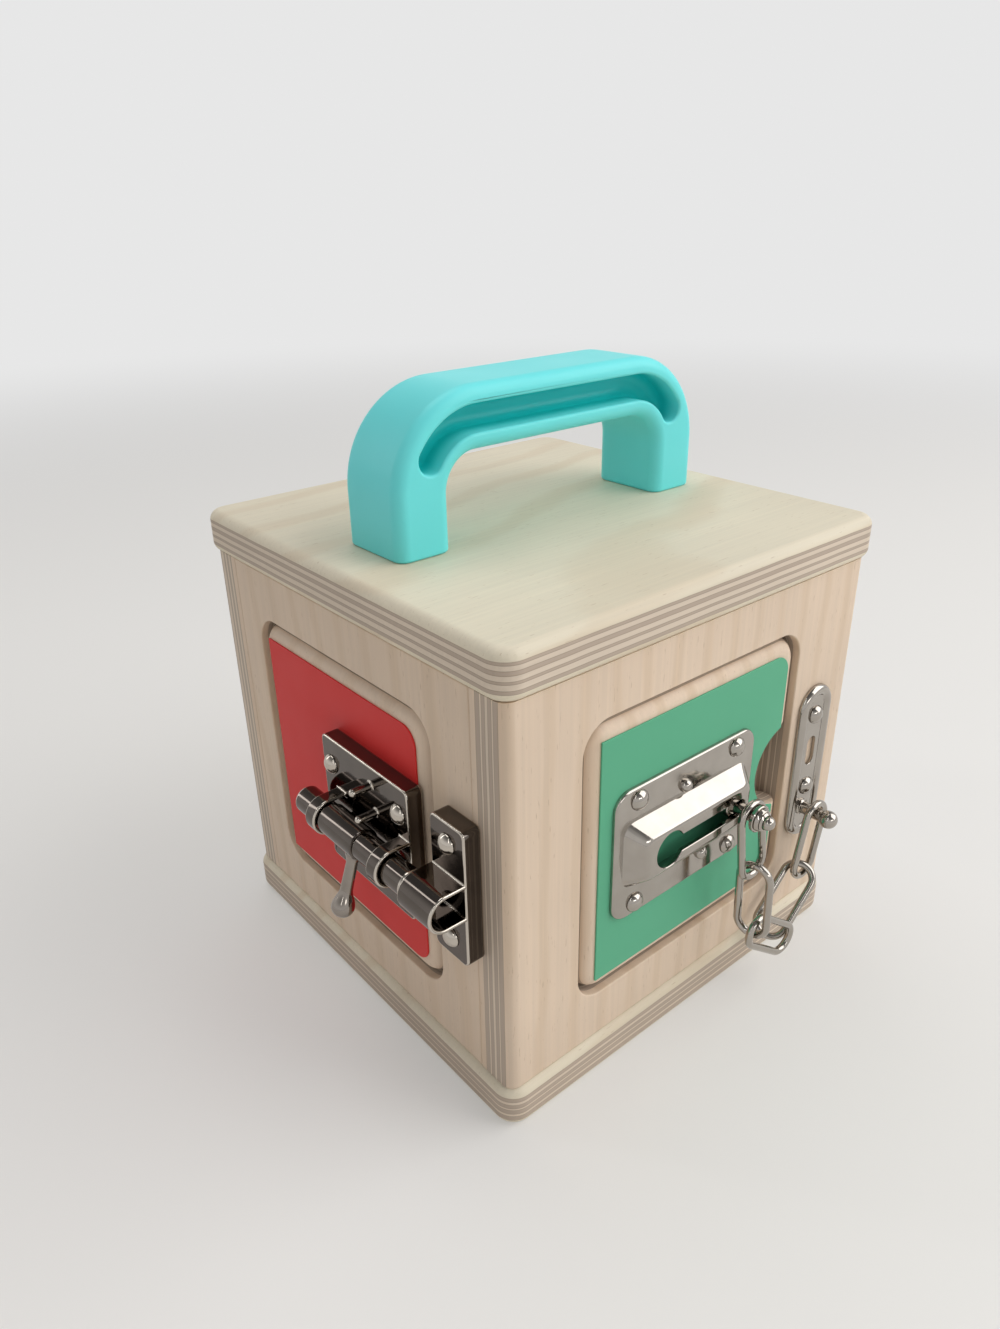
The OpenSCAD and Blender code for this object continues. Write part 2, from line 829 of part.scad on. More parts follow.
// A block with sloping sides that stands on n
module sloped_block(w, h, n, depth, slope) {
    hull() {
        outward(slide_u, mid_z, n) linear_extrude(e) square([w, h], center = true);
        outward(slide_u, mid_z, n + depth - e) linear_extrude(e)
            square([w - 2 * slope, h - 2 * slope], center = true);
    }
}

// A half ball that stands out of the plate
module bump(u, z) {
    outward(u, z, slide_front_n) rotate_extrude() intersection() {
        circle(bump_r);
        square(bump_r);
    }
}

module slide_plate() {
    entry_u = stud_u - stud_travel;
    bump_z = raised_h / 2 + bump_r + bump_gap;
    inner_grow = 2 * slope_rate * (slide_t + 1) - 2 * slope_wall_t;
    color(nickel) side(front) difference() {
        union() {
            outward(slide_u, mid_z, skin_n)
                linear_extrude(slide_t) round_rect(slide_w, slide_h, slide_corner_r);
            sloped_block(raised_w, raised_h, slide_front_n - e, raised_d + e, raised_slope);
            bump(slide_u + bump_us[0], mid_z + bump_z);
            bump(slide_u + bump_us[1], mid_z - bump_z);
        }
        sloped_block(raised_w + inner_grow, raised_h + inner_grow, skin_n - 1, raised_d + 1,
            slope_rate * (raised_d + 1));
        outward(entry_u, mid_z, skin_n + slide_t) cylinder(d = entry_d, h = raised_d + 1);
        outward(stud_u, mid_z, skin_n + slide_t) cylinder(d = slot_w, h = raised_d + 1);
        outward(entry_u, mid_z, skin_n + slide_t) translate([0, -slot_w / 2, 0])
            cube([stud_travel, slot_w, raised_d + 1]);
        for (p = slide_screws) screw_hole(p[0], p[1], slide_front_n, face_n);
    }
}

module slide_plate_screws() {
    color(nickel) side(front) for (p = slide_screws) dome_screw(p[0], p[1], slide_front_n, face_n);
}

// A headed stud: head behind the slot, neck through it and a stepped ball outside
module chain_stud() {
    head_n = raised_front_n - slide_t - slide_play - stud_head_t;
    last = len(stud_steps) - 1;
    color(nickel) side(front) outward(stud_u, mid_z, head_n) {
        cylinder(d = stud_head_d, h = stud_head_t);
        cylinder(d = neck_d, h = flange_n - head_n + step_top(0));
        translate([0, 0, flange_n - head_n]) {
            for (i = [0 : last]) translate([0, 0, step_top(i - 1)])
                cylinder(d1 = stud_steps[i][0], d2 = stud_steps[i][1], h = stud_steps[i][2]);
            translate([0, 0, step_top(last)]) sphere(d = stud_ball_d);
        }
    }
}

// A chain link that hangs from its upper end, flat to the wall or turned
module chain_link(start, n, lean, turn) {
    run = link_arm - 2 * link_r;
    color(nickel) translate([start[0], -n, start[1]]) rotate([0, -lean, 0]) rotate([0, 0, -turn])
        translate([0, 0, -link_r]) {
            for (end = [0, 1]) translate([0, 0, -end * run]) mirror([0, 0, end])
                rotate([90, 0, 0]) rotate_extrude(angle = 180) translate([link_r, 0]) circle(wire_r);
            for (x = [-link_r, link_r]) translate([x, 0, -run]) cylinder(r = wire_r, h = run);
        }
}

module chain_link_1() {
    chain_link(link_1, link_1_n, lean_1, 0);
}

module chain_link_2() {
    chain_link(link_2, link_2_n, lean_2, turn_2);
}

module chain_link_3() {
    chain_link(link_3, link_3_n, lean_3, 0);
}

module chain_link_4() {
    chain_link(link_4, link_4_n, lean_4, turn_4);
}

module chain_link_5() {
    chain_link(link_5, link_5_n, lean_5, 0);
}

// An oblong plate with a raised rim, two screw holes and a long hole between them
module anchor_plate() {
    rim_w = anchor_w - 2 * anchor_edge;
    rim_l = anchor_l - 2 * anchor_edge;
    color(nickel) side(front) difference() {
        union() {
            outward(anchor_u, anchor_z, face_n) linear_extrude(anchor_base_t) stadium(anchor_w, anchor_l);
            outward(anchor_u, anchor_z, face_n) linear_extrude(anchor_rim_h) difference() {
                stadium(rim_w, rim_l);
                stadium(rim_w - 2 * anchor_rim_w, rim_l - 2 * anchor_rim_w);
            }
        }
        for (p = anchor_spots) screw_hole(p[0], p[1], face_n + anchor_base_t, face_n);
        outward(anchor_u, anchor_z + (anchor_screw_z[0] + anchor_screw_z[1]) / 2, face_n - 1)
            linear_extrude(anchor_rim_h + 2) stadium(anchor_slot[0], anchor_slot[1]);
        outward(post_u, post_z, face_n - 1) cylinder(d = neck_d + 2 * fix_play, h = anchor_rim_h + 2);
    }
}

// The post that the last link hangs from
module anchor_post() {
    ball_n = post_link_n + wire_r + ball_gap + post_ball_d / 2;
    color(nickel) side(front) {
        outward(post_u, post_z, face_n - shank_len) cylinder(d = neck_d, h = ball_n - face_n + shank_len);
        translate([post_u, -ball_n, post_z]) sphere(d = post_ball_d);
    }
}

module anchor_screws() {
    color(nickel) side(front) for (p = anchor_spots) dome_screw(p[0], p[1], face_n + anchor_base_t, face_n);
}

// The flat bolt

// A square bridge over the sliding bar
module bridge(u, w, plate_n) {
    inner = bar_w / 2 + slide_play;
    top_n = bar_n + bar_t + slide_play;
    across(u, w) difference() {
        translate([plate_n - e, mid_z - inner - bridge_t])
            square([top_n + bridge_t - plate_n + e, 2 * (inner + bridge_t)]);
        translate([plate_n - 1, mid_z - inner]) square([top_n - plate_n + 1, 2 * inner]);
    }
}

module flat_bolt_plate() {
    color(nickel) side(back) difference() {
        union() {
            outward(flat_u + flat_w / 2, mid_z, skin_n)
                linear_extrude(flat_t) round_rect(flat_w, flat_h, flat_corner_r);
            for (u = bridge_u) bridge(u, bridge_w, flat_front_n);
        }
        for (p = flat_screws) screw_hole(p[0], p[1], flat_front_n, face_n);
    }
}

module flat_bolt_screws() {
    color(nickel) side(back) for (p = flat_screws) dome_screw(p[0], p[1], flat_front_n, face_n);
}

module flat_bolt_bar() {
    tip_r = bar_w / 2;
    color(nickel) side(back) {
        outward(0, mid_z, bar_n) linear_extrude(bar_t) {
            translate([bar_tail_u, -bar_w / 2]) square([bar_tip_u - tip_r - bar_tail_u, bar_w]);
            translate([bar_tip_u - tip_r, 0]) circle(tip_r);
        }
        outward(bar_knob_u, mid_z, bar_n + bar_t) {
            translate([0, 0, -bar_t]) cylinder(d = bar_knob_neck_d, h = bar_t + bar_knob_h[1]);
            translate([0, 0, bar_knob_h[0]])
                cylinder(d1 = bar_knob_neck_d, d2 = bar_knob_d, h = bar_knob_h[1] - bar_knob_h[0]);
            translate([0, 0, bar_knob_h[1]]) cylinder(d = bar_knob_d, h = bar_knob_h[2] - bar_knob_h[1]);
        }
    }
}

module flat_keeper() {
    color(nickel) side(back) difference() {
        union() {
            outward(flat_keeper_u + flat_keeper_w / 2, mid_z, face_n)
                linear_extrude(flat_t) round_rect(flat_keeper_w, flat_h, flat_corner_r);
            bridge(flat_keeper_u, flat_keeper_w, face_n + flat_t);
        }
        for (p = flat_keeper_spots) screw_hole(p[0], p[1], face_n + flat_t, face_n);
    }
}

module flat_keeper_screws() {
    color(nickel) side(back) for (p = flat_keeper_spots) dome_screw(p[0], p[1], face_n + flat_t, face_n);
}

// The turn button

module turn_button() {
    color(nickel) side(right) difference() {
        union() {
            outward(button_u, mid_z, button_n) linear_extrude(button_t) stadium(button_w, button_l);
            outward(button_u, mid_z + button_l / 2 - button_rib_inset, button_n)
                linear_extrude(button_t + button_rib_h) stadium(button_rib_t, button_w - button_rib_t);
        }
        outward(button_u, mid_z, button_n - 1) cylinder(r = button_pin_r + turn_play, h = button_t + 2);
    }
}

// A pin with a washer under the button and a domed head over it
module turn_post() {
    head_n = button_n + button_t + washer_gap;
    color(nickel) side(right) {
        outward(button_u, mid_z, face_n - shank_len)
            cylinder(r = button_pin_r, h = head_n - face_n + shank_len + 1);
        outward(button_u, mid_z, face_n)
            cylinder(r = button_pin_r + washer_w, h = button_n - face_n - washer_gap);
        outward(button_u, mid_z, head_n)
            cylinder(r1 = button_pin_r + post_cap_w, r2 = button_pin_r, h = post_cap_h);
    }
}

// A round pull that screws into the blue door
module pull_knob() {
    color(nickel) side(right) {
        outward(pull_u, mid_z, face_n - shank_len) cylinder(d = shank_d, h = shank_len + sheet_t + 1);
        outward(pull_u, mid_z, skin_n) {
            cylinder(d1 = pull_foot_d, d2 = pull_neck_d, h = pull_h[0]);
            cylinder(d = pull_neck_d, h = pull_h[2]);
            translate([0, 0, pull_h[1]]) cylinder(d1 = pull_neck_d, d2 = pull_d, h = pull_h[2] - pull_h[1]);
            translate([0, 0, pull_h[2]]) cylinder(d1 = pull_d, d2 = pull_top_d, h = pull_h[3] - pull_h[2]);
        }
    }
}

bottom_board();
top_board();
front_wall();
back_wall();
left_wall();
right_wall();
wall_dowels();
handle();
handle_screws();
red_door_panel();
red_sheet();
red_pivot_pins();
bolt_plate();
bolt_plate_screws();
bolt_rod();
bolt_lever();
keeper();
keeper_screws();
green_door_panel();
green_sheet();
green_pivot_pins();
slide_plate();
slide_plate_screws();
chain_stud();
chain_link_1();
chain_link_2();
chain_link_3();
chain_link_4();
chain_link_5();
anchor_plate();
anchor_post();
anchor_screws();
yellow_door_panel();
yellow_sheet();
yellow_pivot_pins();
flat_bolt_plate();
flat_bolt_screws();
flat_bolt_bar();
flat_keeper();
flat_keeper_screws();
blue_door_panel();
blue_sheet();
blue_pivot_pins();
pull_knob();
turn_button();
turn_post();
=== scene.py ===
import json
import math

import bpy
from mathutils import Matrix, Vector

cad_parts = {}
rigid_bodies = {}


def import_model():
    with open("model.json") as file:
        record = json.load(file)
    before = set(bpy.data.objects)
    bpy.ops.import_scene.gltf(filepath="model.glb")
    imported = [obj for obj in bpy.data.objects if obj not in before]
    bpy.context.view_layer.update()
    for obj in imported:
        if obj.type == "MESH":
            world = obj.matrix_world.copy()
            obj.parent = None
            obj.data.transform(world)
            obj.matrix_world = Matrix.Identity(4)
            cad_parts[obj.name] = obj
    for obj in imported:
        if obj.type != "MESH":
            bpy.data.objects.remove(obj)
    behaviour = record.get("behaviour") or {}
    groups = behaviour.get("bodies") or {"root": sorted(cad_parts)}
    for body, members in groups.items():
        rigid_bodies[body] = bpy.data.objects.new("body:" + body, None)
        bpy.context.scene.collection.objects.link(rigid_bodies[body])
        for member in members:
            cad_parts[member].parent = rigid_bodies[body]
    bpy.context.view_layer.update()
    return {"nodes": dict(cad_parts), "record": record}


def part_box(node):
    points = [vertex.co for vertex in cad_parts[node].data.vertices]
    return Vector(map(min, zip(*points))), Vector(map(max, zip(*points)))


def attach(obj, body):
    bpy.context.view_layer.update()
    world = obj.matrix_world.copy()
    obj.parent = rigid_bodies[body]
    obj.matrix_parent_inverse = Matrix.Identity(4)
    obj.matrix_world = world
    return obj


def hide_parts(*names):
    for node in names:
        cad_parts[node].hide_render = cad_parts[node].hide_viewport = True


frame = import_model()
print("frame loaded with", len(frame["nodes"]), "nodes")

bodyOf = {node: body for body, nodes in frame["record"]["behaviour"]["bodies"].items() for node in nodes}
slotOf = {part["node"]: part["material_slot"] for part in frame["record"]["subparts"]}
sideTurn = {"green": 0, "red": -90, "yellow": 180, "blue": 90}  # degrees about Z, from the green door
meshing = {"mergeMm": 0.002, "cornerMergeMm": 0.02, "planeMm": 0.01, "flatDegrees": 0.6, "turnedDegrees": 40,
           "roundEnd": 0.4999, "endSegments": 16}


# Small helpers

def mm(value):
    return value * 0.001


def linearColour(code):
    parts = [int(code[i:i + 2], 16) / 255 for i in (1, 3, 5)]
    return [c / 12.92 if c <= 0.04045 else ((c + 0.055) / 1.055) ** 2.4 for c in parts] + [1.0]


def selectOnly(piece):
    bpy.ops.object.select_all(action="DESELECT")
    piece.select_set(True)
    bpy.context.view_layer.objects.active = piece


def editAll(piece):
    selectOnly(piece)
    bpy.ops.object.mode_set(mode="EDIT")
    bpy.ops.mesh.select_all(action="SELECT")


def editNone(piece):
    editAll(piece)
    bpy.ops.mesh.select_all(action="DESELECT")


def endEdit():
    bpy.ops.object.mode_set(mode="OBJECT")


def applyModifiers(piece):
    selectOnly(piece)
    for name in [modifier.name for modifier in piece.modifiers]:
        bpy.ops.object.modifier_apply(modifier=name)


def applyPlace(piece):
    selectOnly(piece)
    bpy.ops.object.transform_apply(location=True, rotation=True, scale=True)


def seenFrom(side, low, high):
    # a box as u to the right, n outwards and z up, in mm, as someone sees it who faces that side
    turn = Matrix.Rotation(-math.radians(sideTurn[side]), 3, "Z")
    first, last = turn @ low, turn @ high
    u = sorted((first.x * 1000, last.x * 1000))
    n = sorted((-first.y * 1000, -last.y * 1000))
    z = sorted((first.z * 1000, last.z * 1000))
    return u, n, z


outwards = Matrix.Rotation(math.radians(90), 4, "X")
sideways = Matrix.Rotation(math.radians(90), 4, "Y")


def setOnSide(piece, side, u, n, z, tip=outwards):
    # puts a piece that was made at the origin on a side: tip is its own turn, such as +Z to the outside
    turn = Matrix.Rotation(math.radians(sideTurn[side]), 4, "Z")
    piece.matrix_world = turn @ Matrix.Translation((mm(u), -mm(n), mm(z))) @ tip
    applyPlace(piece)


def copyNode(node, name):
    # a copy of a CAD node with its loose triangles joined and its flat faces whole
    piece = bpy.data.objects.new(name, frame["nodes"][node].data.copy())
    bpy.context.scene.collection.objects.link(piece)
    selectOnly(piece)
    bpy.ops.mesh.customdata_custom_splitnormals_clear()
    editAll(piece)
    bpy.ops.mesh.remove_doubles(threshold=mm(meshing["mergeMm"]))
    bpy.ops.mesh.dissolve_limited(angle_limit=math.radians(meshing["flatDegrees"]))
    endEdit()
    return piece


def solidBoxes(node):
    # the low and high corner of each separate solid of a node
    copyNode(node, "measured")
    bpy.ops.mesh.separate(type="LOOSE")
    boxes = []
    for part in list(bpy.context.selected_objects):
        corners = [Vector(corner) for corner in part.bound_box]
        boxes.append((Vector(map(min, *corners)), Vector(map(max, *corners))))
        bpy.data.objects.remove(part)
    return boxes


def smooth(piece, angle=50):
    selectOnly(piece)
    bpy.ops.object.shade_smooth_by_angle(angle=math.radians(angle))
    weigh = piece.modifiers.new("faceNormals", "WEIGHTED_NORMAL")
    weigh.keep_sharp = True
    applyModifiers(piece)


def soften(piece, width, segments=3, angle=35, edgeSlot=-1):
    # every edge sharper than the angle gets a round of that width in mm
    # the round can have a material slot of its own
    bevel = piece.modifiers.new("edges", "BEVEL")
    bevel.width = mm(width)
    bevel.segments = segments
    bevel.limit_method = "ANGLE"
    bevel.angle_limit = math.radians(angle)
    bevel.use_clamp_overlap = False
    bevel.material = edgeSlot
    applyModifiers(piece)
    smooth(piece)


def softenFaces(piece, axis, width, segments, angle=35):
    # rounds the sharp edges of a wall's two faces, and leaves the thin lip behind the door as it is
    editNone(piece)
    bpy.ops.mesh.select_mode(type="EDGE")
    bpy.ops.mesh.edges_select_sharp(sharpness=math.radians(angle))
    endEdit()
    places = [point.co[axis] for point in piece.data.vertices]
    chosen = []
    for level in (min(places), max(places)):
        onFace = [abs(place - level) < mm(meshing["planeMm"]) for place in places]
        chosen += [edge.index for edge in piece.data.edges
                   if edge.select and all(onFace[i] for i in edge.vertices)]
    editNone(piece)
    endEdit()
    for index in chosen:
        piece.data.edges[index].select = True
    bpy.ops.object.mode_set(mode="EDIT")
    bpy.ops.mesh.bevel(offset=mm(width), segments=segments, affect="EDGES")
    bpy.ops.mesh.select_mode(type="VERT")
    endEdit()
    smooth(piece)


def coat(piece, *materials):
    piece.data.materials.clear()
    for material in materials:
        piece.data.materials.append(material)


def dress(piece, node, material=None):
    if material:
        coat(piece, material)
    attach(piece, bodyOf[node])
    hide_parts(node)


def dressTurned(piece, node, material=None):
    # turned metal keeps more of its steps sharp
    smooth(piece, meshing["turnedDegrees"])
    dress(piece, node, material)


def startRing(name, ring, around, fill):
    height, radius = ring
    bpy.ops.object.select_all(action="DESELECT")
    bpy.ops.mesh.primitive_circle_add(vertices=around, radius=mm(radius), fill_type=fill,
                                      location=(0, 0, mm(height)))
    piece = bpy.context.object
    piece.name = name
    applyPlace(piece)
    editAll(piece)
    return piece


def scaleRing(share, height):
    bpy.ops.transform.resize(value=(share, share, 1), center_override=(0, 0, mm(height)))


def turned(name, rings, around=48):
    # a turned piece along +Z: each ring (height, radius) is extruded from the last and scaled to its size
    piece = startRing(name, rings[0], around, "NGON")
    height, radius = rings[0]
    for nextHeight, nextRadius in rings[1:]:
        rise = (0, 0, mm(nextHeight - height))
        bpy.ops.mesh.extrude_region_move(TRANSFORM_OT_translate={"value": rise})
        if nextRadius == 0:
            bpy.ops.mesh.merge(type="CENTER")
            break
        scaleRing(nextRadius / radius, nextHeight)
        height, radius = nextHeight, nextRadius
    bpy.ops.mesh.select_all(action="SELECT")
    bpy.ops.mesh.normals_make_consistent(inside=False)
    endEdit()
    return piece


def turnedTube(name, rings, around=48):
    # like turned, but the rings are a closed outline round a bore
    piece = startRing(name, rings[0], around, "NOTHING")
    height, radius = rings[0]
    for nextHeight, nextRadius in rings[1:] + rings[:1]:
        rise = (0, 0, mm(nextHeight - height))
        bpy.ops.mesh.extrude_edges_move(TRANSFORM_OT_translate={"value": rise})
        scaleRing(nextRadius / radius, nextHeight)
        height, radius = nextHeight, nextRadius
    bpy.ops.mesh.select_all(action="SELECT")
    bpy.ops.mesh.remove_doubles(threshold=mm(meshing["mergeMm"]))
    bpy.ops.mesh.normals_make_consistent(inside=False)
    endEdit()
    return piece


def domeRings(base, radius, height, steps=9):
    # rings of a round cap from its rim to its top
    cap = (radius ** 2 + height ** 2) / (2 * height)
    lean = math.asin(min(1, radius / cap))
    leans = [lean * (1 - i / steps) for i in range(steps + 1)]
    rings = [(base + height - cap + cap * math.cos(a), cap * math.sin(a)) for a in leans]
    return rings[:-1] + [(base + height, 0)]


def ballRings(centre, radius, neck, steps=14):
    # rings of a ball from where it meets a neck of that radius to its top
    start = math.pi - math.asin(neck / radius)
    leans = [start * (1 - i / steps) for i in range(steps + 1)]
    rings = [(centre + radius * math.cos(a), radius * math.sin(a)) for a in leans]
    return rings[:-1] + [(centre + radius, 0)]


def joinPieces(first, *others):
    bpy.ops.object.select_all(action="DESELECT")
    for piece in (first, *others):
        piece.select_set(True)
    bpy.context.view_layer.objects.active = first
    bpy.ops.object.join()
    return first


def combine(piece, other, way):
    # adds or cuts away another closed piece, which is used up
    joint = piece.modifiers.new("joint", "BOOLEAN")
    joint.operation = way
    joint.solver = "EXACT"
    joint.object = other
    applyModifiers(piece)
    bpy.data.objects.remove(other)


def roundedFace(name, wide, high, corner, segments=8):
    # a flat rectangle in X and Y with round corners
    bpy.ops.object.select_all(action="DESELECT")
    bpy.ops.mesh.primitive_plane_add(size=1)
    piece = bpy.context.object
    piece.name = name
    piece.scale = (mm(wide), mm(high), 1)
    applyPlace(piece)
    editAll(piece)
    bpy.ops.mesh.bevel(offset=mm(corner), segments=segments, affect="VERTICES")
    bpy.ops.mesh.select_all(action="SELECT")
    bpy.ops.mesh.remove_doubles(threshold=mm(meshing["cornerMergeMm"]))
    endEdit()
    return piece


def oblong(name, wide, high):
    # a flat face with round ends
    return roundedFace(name, wide, high, min(wide, high) * meshing["roundEnd"], meshing["endSegments"])


def raiseFace(piece, levels, shift=(0, 0)):
    # makes a block of a flat face: each level is a height and how far its outline stands in from the first
    wide, high = piece.dimensions.x * 1000, piece.dimensions.y * 1000
    editAll(piece)
    height, inset = levels[0]
    bpy.ops.transform.translate(value=(0, 0, mm(height)))
    for nextHeight, nextInset in levels[1:]:
        rise = (0, 0, mm(nextHeight - height))
        bpy.ops.mesh.extrude_region_move(TRANSFORM_OT_translate={"value": rise})
        shares = [(side - 2 * nextInset) / (side - 2 * inset) for side in (wide, high)]
        bpy.ops.transform.resize(value=(*shares, 1), center_override=(0, 0, 0))
        height, inset = nextHeight, nextInset
    bpy.ops.mesh.select_all(action="SELECT")
    bpy.ops.transform.translate(value=(mm(shift[0]), mm(shift[1]), 0))
    bpy.ops.mesh.normals_make_consistent(inside=False)
    endEdit()
    return piece


def rolledRim(top, radius, steps=5):
    # levels of a quarter round at the top of a block
    leans = [math.radians(90 * i / steps) for i in range(1, steps + 1)]
    return [(top - radius + radius * math.sin(a), radius - radius * math.cos(a)) for a in leans]


# Materials

def addNode(tree, kind, values=None, links=None, **settings):
    # values and links go by socket: a Mix of colours takes them at 6 and 7 and gives the result at output 2
    node = tree.nodes.new(kind)
    for name, value in settings.items():
        setattr(node, name, value)
    for socket, value in (values or {}).items():
        node.inputs[socket].default_value = value
    for socket, source in (links or {}).items():
        tree.links.new(source, node.inputs[socket])
    return node


def startMaterial(name):
    material = bpy.data.materials.new(name)
    material.use_nodes = True
    tree = material.node_tree
    place = addNode(tree, "ShaderNodeTexCoord").outputs["Object"]
    return material, tree, tree.nodes["Principled BSDF"], place


def setSockets(shader, values):
    for socket, value in values.items():
        shader.inputs[socket].default_value = value


plywood = {
    "figure": "#CDB08E",
    "fleck": "#A98A66",
    "lightPly": "#DDCDBA",
    "darkPly": "#BCAA99",
    "glue": "#9A8876",
    "plyMm": 1.55,
    "faceWidth": 1.9,
    "plyWidths": (0.95, 0.55, 1.25, 0.7, 1.1, 0.5, 1.0, 0.8),  # no two layers are quite alike
    "glueMm": 0.13,
    "wobbleMm": 0.3,
    "wobbleEveryMm": 16,
    "streakMm": 1.1,
    "streakLengthMm": 70,
    "streakShift": 3.1,  # from board to board
    "streakTone": (0.955, 1.03),
    "figureMm": 12,
    "figureLean": 5,  # degrees off the grain
    "figureBend": 2.6,
    "figureFrom": 0.6,
    "figureShare": 0.5,
    "fleckMm": 0.5,
    "fleckLengthMm": 4,
    "fleckSpan": (0.7, 0.78),
    "fleckShare": 0.4,
    "heart": (0, 0.043, 0.05),  # metres from the middle of the log
    "heartStep": (0.031, 0.017, 0),  # from board to board
    "cloudMm": 60,
    "cloudTone": (0.95, 1.04),
    "toneSpan": (0.3, 0.7),
    "sheen": (0.48, 0.62),
    "layerSunk": -0.6,
    "bump": 0.25,
    "bumpMm": 0.06,
}
ringSpacing = 0.314  # metres between the rings of a wave texture at scale 1


# Birch plywood, sanded and sealed with a thin matt varnish. The faces are pale with a faint
# cathedral figure and short pores, and every cut edge shows the light and dark layers.
def birchPlywood(node, thickAxis, grainAxis, face, seed):
    wood = plywood
    material, tree, shader, place = startMaterial("birch plywood " + node)
    low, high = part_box(node)
    axis, grain = "XYZ".index(thickAxis), "XYZ".index(grainAxis)
    thick = (high[axis] - low[axis]) * 1000
    count = 2 * round((thick / wood["plyMm"] - 1) / 2) + 1

    # how deep a point lies in the board, with layers that wander a little
    split = addNode(tree, "ShaderNodeSeparateXYZ", links={0: place})
    wander = addNode(tree, "ShaderNodeTexNoise", {"Scale": 1000 / wood["wobbleEveryMm"], "Detail": 2},
                     {"Vector": place})
    shift = addNode(tree, "ShaderNodeMath", {1: 0.5}, {0: wander.outputs["Fac"]}, operation="SUBTRACT")
    shifted = addNode(tree, "ShaderNodeMath", {1: mm(wood["wobbleMm"])},
                      {0: shift.outputs[0], 2: split.outputs[axis]}, operation="MULTIPLY_ADD")
    depth = addNode(tree, "ShaderNodeMapRange", {"From Min": low[axis], "From Max": high[axis]},
                    {"Value": shifted.outputs[0]})

    # one ramp holds the layers and the glue between them, another tells the inner layers from the faces
    layers = addNode(tree, "ShaderNodeValToRGB", links={0: depth.outputs[0]})
    inner = addNode(tree, "ShaderNodeValToRGB", links={0: depth.outputs[0]})
    glue = wood["glueMm"] / thick
    widths = [wood["plyWidths"][(i + seed) % len(wood["plyWidths"])] for i in range(count)]
    widths[0] = widths[-1] = wood["faceWidth"]
    bounds = [sum(widths[:i]) / sum(widths) for i in range(count + 1)]
    ramp = layers.color_ramp
    for i in range(count):
        layer = linearColour(wood["lightPly"] if i % 2 == 0 else wood["darkPly"])
        if i > 0:
            ramp.elements.new(bounds[i]).color = linearColour(wood["glue"])
            ramp.elements.new(bounds[i] + glue).color = layer
        if i < count - 1:
            ramp.elements.new(bounds[i + 1] - glue).color = layer
    ramp.elements[0].color = ramp.elements[-1].color = linearColour(wood["lightPly"])
    for position, level in ((bounds[1] - glue, 0), (bounds[1], 1), (bounds[-2], 1), (bounds[-2] + glue, 0)):
        inner.color_ramp.elements.new(position).color = (level, level, level, 1)
    inner.color_ramp.elements[-1].color = (0, 0, 0, 1)

    # streaks, pores and rings are stretched along the grain
    def stretched(across, along):
        scale = [1000 / across] * 3
        scale[grain] = 1000 / along
        shift = [seed * wood["streakShift"]] * 3
        mapping = addNode(tree, "ShaderNodeMapping", {"Scale": scale, "Location": shift}, {"Vector": place})
        return mapping.outputs[0]

    streak = addNode(tree, "ShaderNodeTexNoise", {"Scale": 1, "Detail": 5, "Roughness": 0.6},
                     {"Vector": stretched(wood["streakMm"], wood["streakLengthMm"])})
    pores = addNode(tree, "ShaderNodeTexNoise", {"Scale": 1, "Detail": 1},
                    {"Vector": stretched(wood["fleckMm"], wood["fleckLengthMm"])})
    lean = [0.0, 0.0, 0.0]
    lean[(grain + 1) % 3] = math.radians(wood["figureLean"])
    heart = [start + step * seed for start, step in zip(wood["heart"], wood["heartStep"])]
    log = addNode(tree, "ShaderNodeMapping", {"Location": heart, "Rotation": lean}, {"Vector": place})
    rings = addNode(tree, "ShaderNodeTexWave",
                    {"Scale": ringSpacing * 1000 / wood["figureMm"], "Distortion": wood["figureBend"],
                     "Detail": 2.0, "Detail Scale": 0.7},
                    {"Vector": log.outputs[0]},
                    wave_type="RINGS", rings_direction=grainAxis, wave_profile="SIN")
    cloud = addNode(tree, "ShaderNodeTexNoise", {"Scale": 1000 / wood["cloudMm"], "Detail": 2},
                    {"Vector": place})

    # the face veneer: pale wood, faint rings where the cloud lets them through, then pores
    ringFade = addNode(tree, "ShaderNodeMapRange",
                       {"From Min": wood["figureFrom"], "From Max": 1.0, "To Max": wood["figureShare"]},
                       {"Value": rings.outputs["Fac"]}, interpolation_type="SMOOTHSTEP")
    ringShow = addNode(tree, "ShaderNodeMath", links={0: ringFade.outputs[0], 1: cloud.outputs["Fac"]},
                       operation="MULTIPLY")
    veneer = addNode(tree, "ShaderNodeMix", {6: linearColour(face), 7: linearColour(wood["figure"])},
                     {0: ringShow.outputs[0]}, data_type="RGBA")
    fleckFrom, fleckTo = wood["fleckSpan"]
    poreMask = addNode(tree, "ShaderNodeMapRange",
                       {"From Min": fleckFrom, "From Max": fleckTo, "To Max": wood["fleckShare"]},
                       {"Value": pores.outputs["Fac"]})
    flecked = addNode(tree, "ShaderNodeMix", {7: linearColour(wood["fleck"])},
                      {0: poreMask.outputs[0], 6: veneer.outputs[2]}, data_type="RGBA")
    whole = addNode(tree, "ShaderNodeMix",
                    links={0: inner.outputs[0], 6: flecked.outputs[2], 7: layers.outputs[0]},
                    data_type="RGBA")

